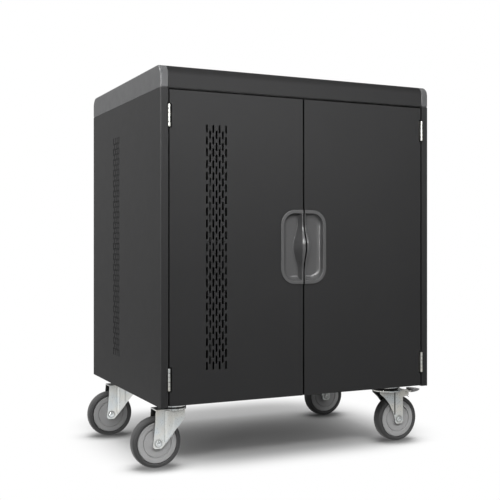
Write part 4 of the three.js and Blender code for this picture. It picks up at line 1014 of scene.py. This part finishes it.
def build_race(name, pivot, top):
    """Cup ring, slit and crown of the swivel race; a braked fork has a wider crown."""
    ring_top, ring_low, gap_low, crown_low = (top - k for k in RACE_LEVELS)
    r, ease = CUP_RING_RADIUS, RACE_EDGE
    neck = r - 6 * MM
    inside = r - 8 * MM
    profile = [(r - 7 * MM, ring_top), *rounded_rim(r, ring_top, ring_low, CUP_RING_EDGE)]
    profile += [(neck, ring_low), (neck, gap_low), (r - ease, gap_low), (r, gap_low - ease)]
    profile += [(r, crown_low + ease), (r - ease, crown_low), (r - 9 * MM, crown_low)]
    axis = (pivot.x, pivot.y, 0)
    bm = bmesh.new()
    revolve(bm, profile, axis, UPRIGHT)
    if name.endswith("right"):
        high, low = (top - k for k in CROWN_LEVELS)
        rim = [(inside, high), *rounded_rim(CROWN_RADIUS, high, low, CROWN_EDGE), (inside, low)]
        revolve(bm, rim, axis, UPRIGHT)
    place(f"{name}_race_cup", bm, f"{name}_swivel", "zinc", smooth=40, finish=BOLT)


def build_axle(name):
    """Axle bolt: its shaft, and at each end a washer, a hexagon and the tip of the thread."""
    lo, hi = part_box(f"{name}_axle")
    centre = (lo + hi) / 2
    half = (hi.y - lo.y) / 2
    seat = half - AXLE_HEAD
    nut = seat + WASHER_THICK
    washer = [
        (WASHER_BORE, seat), (WASHER_RADIUS, seat), (WASHER_RADIUS, nut - 0.3 * MM),
        (WASHER_RADIUS - 0.4 * MM, nut), (WASHER_BORE, nut),
    ]
    stud = [(0.4 * MM, half - STUD_LONG), (STUD_RADIUS, half - STUD_LONG)]
    stud += [(STUD_RADIUS, half - 0.6 * MM), (0.4 * MM, half)]
    end = half - AXLE_SHORT
    shaft = [(0.5 * MM, -end), (AXLE_RADIUS, -end), (AXLE_RADIUS, end), (0.5 * MM, end)]
    bm = bmesh.new()
    washers = bmesh.new()
    for way in (-1, 1):
        revolve(washers, mirrored(washer, way), centre, CROSSWISE, 32)
        add_hex(bm, centre + Vector((0, way * nut, 0)), (0, way, 0), NUT_HIGH)
        revolve(bm, mirrored(stud, way), centre, CROSSWISE, 24)
    revolve(bm, shaft, centre, CROSSWISE, 24)
    place(f"{name}_axle_skin", bm, f"{name}_swivel", "zinc", [f"{name}_axle"], 30, BOLT)
    # Washers in the darker plate: painted shade round the nuts
    place(f"{name}_axle_washers", washers, f"{name}_swivel", "zinc", smooth=30, finish=WASHER_PAINTED_SHADE)


def build_plate_bolts(name, pivot, top):
    """Hexagon heads under the corners of a caster's plate."""
    bm = bmesh.new()
    for x in (pivot.x - PLATE_BOLT_X, pivot.x + PLATE_BOLT_X):
        for y in (pivot.y - PLATE_BOLT_Y, pivot.y + PLATE_BOLT_Y):
            add_hex(bm, (x, y, top - PLATE_BOLT_DROP), (0, 0, -1), PLATE_BOLT_HIGH)
    place(f"{name}_plate_bolts", bm, "cabinet", "zinc", smooth=30)


def build_caster(name):
    """Wheel, plate, fork, race, axle and bolts of one caster."""
    pivot = Vector(JOINTS[f"{name}_swivel"]["pos_m"])
    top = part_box(f"{name}_caster_plate")[1].z
    build_tyre(name)
    build_hub(name)
    if name.endswith("left"):
        build_ribs(name, pivot, top)
    soften(f"{name}_caster_plate", 0.8 * MM)
    fork = soften(f"{name}_caster_fork", 0.7 * MM, smooth=18)
    darken_fork(name, fork, pivot, top)
    build_race(name, pivot, top)
    build_axle(name)
    build_plate_bolts(name, pivot, top)


def build_pedal(name):
    """Brake pedal: plated arm and hub, and a dark ribbed tread that thins towards its tip."""
    node = f"{name}_brake_pedal"
    obj = soften(node, 0.6 * MM)
    lo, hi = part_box(node)
    tread_start = hi.x - TREAD_LENGTH
    level = hi.z - TREAD_THICK / 2

    def swell(x):
        """How many times thicker the tread is than a flat one."""
        return TREAD_ROOT + (TREAD_TIP - TREAD_ROOT) * (x - tread_start) / TREAD_LENGTH

    for vert in obj.data.vertices:
        if vert.co.x > tread_start:
            vert.co.z = level + (vert.co.z - level) * swell(vert.co.x)
    repaint(obj, MATERIALS["zinc"], lambda poly: poly.center.x < tread_start)
    bm = bmesh.new()
    middle = (lo.y + hi.y) / 2
    for k in range(TREAD_RIBS):
        x = tread_start + TREAD_RIB_START + TREAD_RIB_PITCH * k
        half = TREAD_RIB_HALF - TREAD_RIB_NARROWS * k
        top = level + TREAD_THICK / 2 * swell(x + TREAD_RIB_WIDE / 2)
        corner = (x + TREAD_RIB_WIDE, middle + half, top + TREAD_RIB_PROUD)
        merge_box(bm, (x, middle - half, top - TREAD_RIB_SINK), corner)
    bevel_sharp(bm, 0.4 * MM)
    place(f"{name}_pedal_ribs", bm, f"{name}_brake", "pedal_plastic", smooth=40)


def build_spring(name):
    """End of the brake's spring, a bent wire inside the front leg; its path is in millimetres."""
    lo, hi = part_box(f"{name}_brake_pedal")
    pivot = Vector(JOINTS[f"{name}_brake_press"]["pos_m"])
    y = (lo.y + hi.y) / 2 - LEG_OUTSIDE + SPRING_INSIDE_LEG
    rings = []
    for dx, dz in SPRING_PATH:
        spot = Vector((pivot.x + dx * MM, y, pivot.z + dz * MM))
        rings.append([spot + Vector((0, p, q)) for p, q in arc(0, 0, SPRING_WIRE, 0, 315, 7)])
    bm = bmesh.new()
    skin_rings(bm, rings)
    place(f"{name}_brake_spring", bm, f"{name}_swivel", "pedal_plastic", smooth=60, finish=BLACK_AND_PAINTED_SHADE)


def build_outlets(tier):
    """Blade and earth slits on each outlet of a strip, as near-black marks of painted shade."""
    soften(f"{tier}_outlet_strip", 1.0 * MM)
    lo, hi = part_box(f"{tier}_outlet_strip")
    pitch = (hi.x - lo.x) / OUTLETS
    middle = (lo.z + hi.z) / 2
    front, back = hi.y + SLIT_PROUD, hi.y - SLIT_SINK
    earth = [(0.4 * MM, -SLIT_SINK), (EARTH_RADIUS, -SLIT_SINK)]
    earth += [(EARTH_RADIUS, SLIT_PROUD), (0.4 * MM, SLIT_PROUD)]
    bm = bmesh.new()
    for k in range(OUTLETS):
        x = lo.x + (k + 0.5) * pitch
        for u in (x - SLIT_FROM_MIDDLE, x + SLIT_FROM_MIDDLE):
            merge_box(bm, (u - SLIT_HALF, back, middle), (u + SLIT_HALF, front, middle + SLIT_HIGH))
        revolve(bm, earth, (x, hi.y, middle - EARTH_DROP), CROSSWISE, 16)
    # The slits are painted shade: near-black boxes where the openings are
    place(f"{tier}_outlet_slits", bm, "cabinet", "socket_plastic", finish=BLACK_AND_PAINTED_SHADE)


def build_inlet():
    """Mains inlet and its three blades inside the socket."""
    soften("mains_inlet", 0.8 * MM)
    lo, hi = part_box("mains_inlet")
    x, z = (lo.x + hi.x) / 2, (lo.z + hi.z) / 2
    deep, shallow = (hi.y - k for k in BLADE_FROM_MOUTH)
    bm = bmesh.new()
    for dx, dz in BLADE_SPOTS:
        root = Vector((x + dx, deep, z + dz))
        tip = Vector((x + dx, shallow, z + dz))
        merge_box(bm, root - BLADE_HALF, tip + BLADE_HALF)
    bevel_sharp(bm, 0.4 * MM)
    place("mains_blades", bm, "cabinet", "hinge_steel")


def build_cart():
    """Every piece of the cart."""
    for side in ("left", "right"):
        build_door(side)
        build_side(side)
        build_pull(side)
        for level in ("lower", "upper"):
            build_hinge(side, level)
    build_cover()
    for side in ("left", "right"):
        build_cap(side)
    for end in ("front", "rear"):
        for side in ("left", "right"):
            build_caster(f"{end}_{side}")
        build_pedal(f"{end}_right")
        build_spring(f"{end}_right")
    for tier in ("lower", "upper"):
        build_outlets(tier)
    build_inlet()
    for node in PLAIN_NODES:
        piece = soften(node)
        # Shelves and partition take the black paint with painted shade
        if node in INNER_NODES:
            piece.data.materials[0] = INNER_PAINTED_SHADE


def mix_shaders(tree, factor, first, second):
    """A shader that is the first at factor 0 and the second at factor 1."""
    mix = tree.nodes.new("ShaderNodeMixShader")
    for socket, source in zip(mix.inputs, (factor, first, second)):
        feed(source, socket)
    return mix.outputs[0]


def emission(tree, strength):
    """A white glow of a plain or driven strength."""
    glow = tree.nodes.new("ShaderNodeEmission")
    feed(strength, glow.inputs["Strength"])
    return glow.outputs[0]


def diffuse(tree, color):
    """A matte surface of a plain or driven colour."""
    matte = tree.nodes.new("ShaderNodeBsdfDiffuse")
    feed(color, matte.inputs["Color"])
    return matte.outputs[0]


def falls_off(tree, spot, span, axis):
    """An eased level over a span along an axis."""
    along = vector_math(tree, "DOT_PRODUCT", spot, axis)
    return eased(tree, along.outputs["Value"], span)


def from_footprint(tree, spot):
    """Distance from the middle of the shadow: 0 there and 1 along a rounded oblong round the cart."""
    scale = (1 / SHADOW_HALF[0], 1 / SHADOW_HALF[1], 0)
    shift = (-SHADOW_MIDDLE[0] / SHADOW_HALF[0], -SHADOW_MIDDLE[1] / SHADOW_HALF[1], 0)
    inside = vector_math(tree, "MULTIPLY_ADD", spot, scale, shift).outputs[0]
    square = vector_math(tree, "MULTIPLY", inside, inside).outputs[0]
    return vector_math(tree, "LENGTH", square).outputs["Value"]


def floor_material():
    """Matte under the cart, where it keeps the shadow and its colour darkens towards the middle as painted shadow,
    with painted contact shadow round the wheels, and fading to white around it.
    """
    mat = bpy.data.materials.new("floor_white")
    mat.use_nodes = True
    tree = mat.node_tree
    tree.nodes.clear()
    path = tree.nodes.new("ShaderNodeLightPath")
    seen, glossy = path.outputs["Is Camera Ray"], path.outputs["Is Glossy Ray"]
    spot = tree.nodes.new("ShaderNodeTexCoord").outputs["Object"]
    distance = from_footprint(tree, spot)
    shade = emission(tree, falls_off(tree, spot, FLOOR_REFLECTED, FLOOR_REFLECTED_AXIS))
    # Painted shadow: the matte floor's colour darker near the cart's middle
    near = mix_shaders(tree, glossy, diffuse(tree, eased(tree, distance, FLOOR_PAINTED_SHADOW_TONE)), shade)
    dim = diffuse(tree, (FLOOR_BOUNCE, FLOOR_BOUNCE, FLOOR_BOUNCE, 1))
    lit = tree.nodes.new("ShaderNodeAddShader")
    feed(mix_shaders(tree, path.outputs["Is Diffuse Ray"], near, dim), lit.inputs[0])
    glow = 0.0
    for ray in ("Is Camera Ray", "Is Glossy Ray", "Is Transmission Ray"):
        glow = mix_values(tree, path.outputs[ray], glow, FLOOR_GLOW)
    feed(emission(tree, glow), lit.inputs[1])
    far = mix_values(tree, glossy, 0.0, falls_off(tree, spot, FLOOR_FAR_REFLECTED, (1, 0, 0)))
    white = emission(tree, mix_values(tree, seen, far, 1.0))
    fade = mix_values(tree, seen, eased(tree, distance, FLOOR_FADE), eased(tree, distance, FLOOR_SEEN_FADE))
    open_floor = mix_shaders(tree, fade, lit.outputs[0], white)
    # Painted contact shadow round the wheels, seen by the camera only
    under = tree.nodes.new("ShaderNodeAmbientOcclusion")
    under.samples = CONTACT_SAMPLES
    under.inputs["Distance"].default_value = CONTACT_REACH
    painted_contact_shadow = mix_values(tree, seen, 0.0, eased(tree, under.outputs["AO"], FLOOR_PAINTED_CONTACT_SHADOW))
    out = tree.nodes.new("ShaderNodeOutputMaterial")
    feed(mix_shaders(tree, painted_contact_shadow, open_floor, emission(tree, 0.0)), out.inputs["Surface"])
    return mat


def build_floor():
    """Wide white floor."""
    bm = bmesh.new()
    bmesh.ops.create_grid(bm, x_segments=1, y_segments=1, size=FLOOR_SIZE)
    mesh = bpy.data.meshes.new("floor")
    bm.to_mesh(mesh)
    bm.free()
    mesh.materials.append(floor_material())
    floor = new_object("floor", mesh)


def build_world():
    """White to the camera, brighter on the left in reflections, and a soft dome otherwise."""
    world = bpy.data.worlds.new("studio")
    bpy.context.scene.world = world
    world.use_nodes = True
    tree = world.node_tree
    back = tree.nodes["Background"]
    back.inputs["Color"].default_value = (1, 1, 1, 1)
    path = tree.nodes.new("ShaderNodeLightPath")
    way = tree.nodes.new("ShaderNodeTexCoord").outputs["Generated"]
    reflected = falls_off(tree, way, WORLD_REFLECTED, (1, 0, 0))
    dome = tree.nodes.new("ShaderNodeMath")
    feed(falls_off(tree, way, WORLD_FILL, UPRIGHT), dome.inputs[0])
    feed(falls_off(tree, way, WORLD_BACK, WORLD_BACK_AXIS), dome.inputs[1])
    chosen = mix_values(tree, path.outputs["Is Glossy Ray"], dome.outputs[0], reflected)
    chosen = mix_values(tree, path.outputs["Is Camera Ray"], chosen, 1.0)
    feed(chosen, back.inputs["Strength"])


def add_softbox(name, spot, aim, size, power, shown=True):
    """A rectangular lamp, which polished pieces reflect where it is shown."""
    light = bpy.data.lights.new(name, "AREA")
    light.shape = "RECTANGLE"
    light.size, light.size_y = size
    light.energy = power
    lamp = new_object(name, light)
    lamp.visible_glossy = shown
    lamp.location = spot
    lamp.rotation_euler = (Vector(aim) - Vector(spot)).to_track_quat("-Z", "Y").to_euler()


def build_lights():
    """Soft studio lamps: place, aim, size and watts."""
    add_softbox("overhead", (-0.05, -0.85, 3.5), (0, -0.3, 0), (3.2, 3.0), 10)
    add_softbox("door_strip", (-0.15, -1.3, 1.12), (0.0, -0.29, 1.12), (1.6, 0.3), 15)
    add_softbox("left_key", (-2.4, -1.85, 1.0), (-0.1, -0.29, 0.6), (0.1, 1.3), 11)
    add_softbox("side_strip", (-1.2, 0.1, 1.5), (-0.38, 0, 0.8), (0.9, 0.3), 6)
    add_softbox("right_strip", (0.9, -2.9, 1.75), (0, -0.29, 0.55), (1.4, 0.25), 3)
    add_softbox("front_fill", (-1.6, -3.3, 1.1), (0, 0, 0.4), (2.0, 1.4), 15, shown=False)


def build_camera():
    """The photograph's view."""
    data = bpy.data.cameras.new("photo_camera")
    data.sensor_width = CAMERA_SENSOR
    data.lens = CAMERA_LENS
    data.shift_y = HORIZON_SHIFT
    camera = new_object("photo_camera", data)
    camera.location = CAMERA_PLACE
    camera.rotation_euler = (math.pi / 2, 0, math.radians(CAMERA_YAW))
    bpy.context.scene.camera = camera


build_cart()
build_floor()
build_world()
build_lights()
build_camera()
bpy.context.scene.view_settings.view_transform = "Standard"
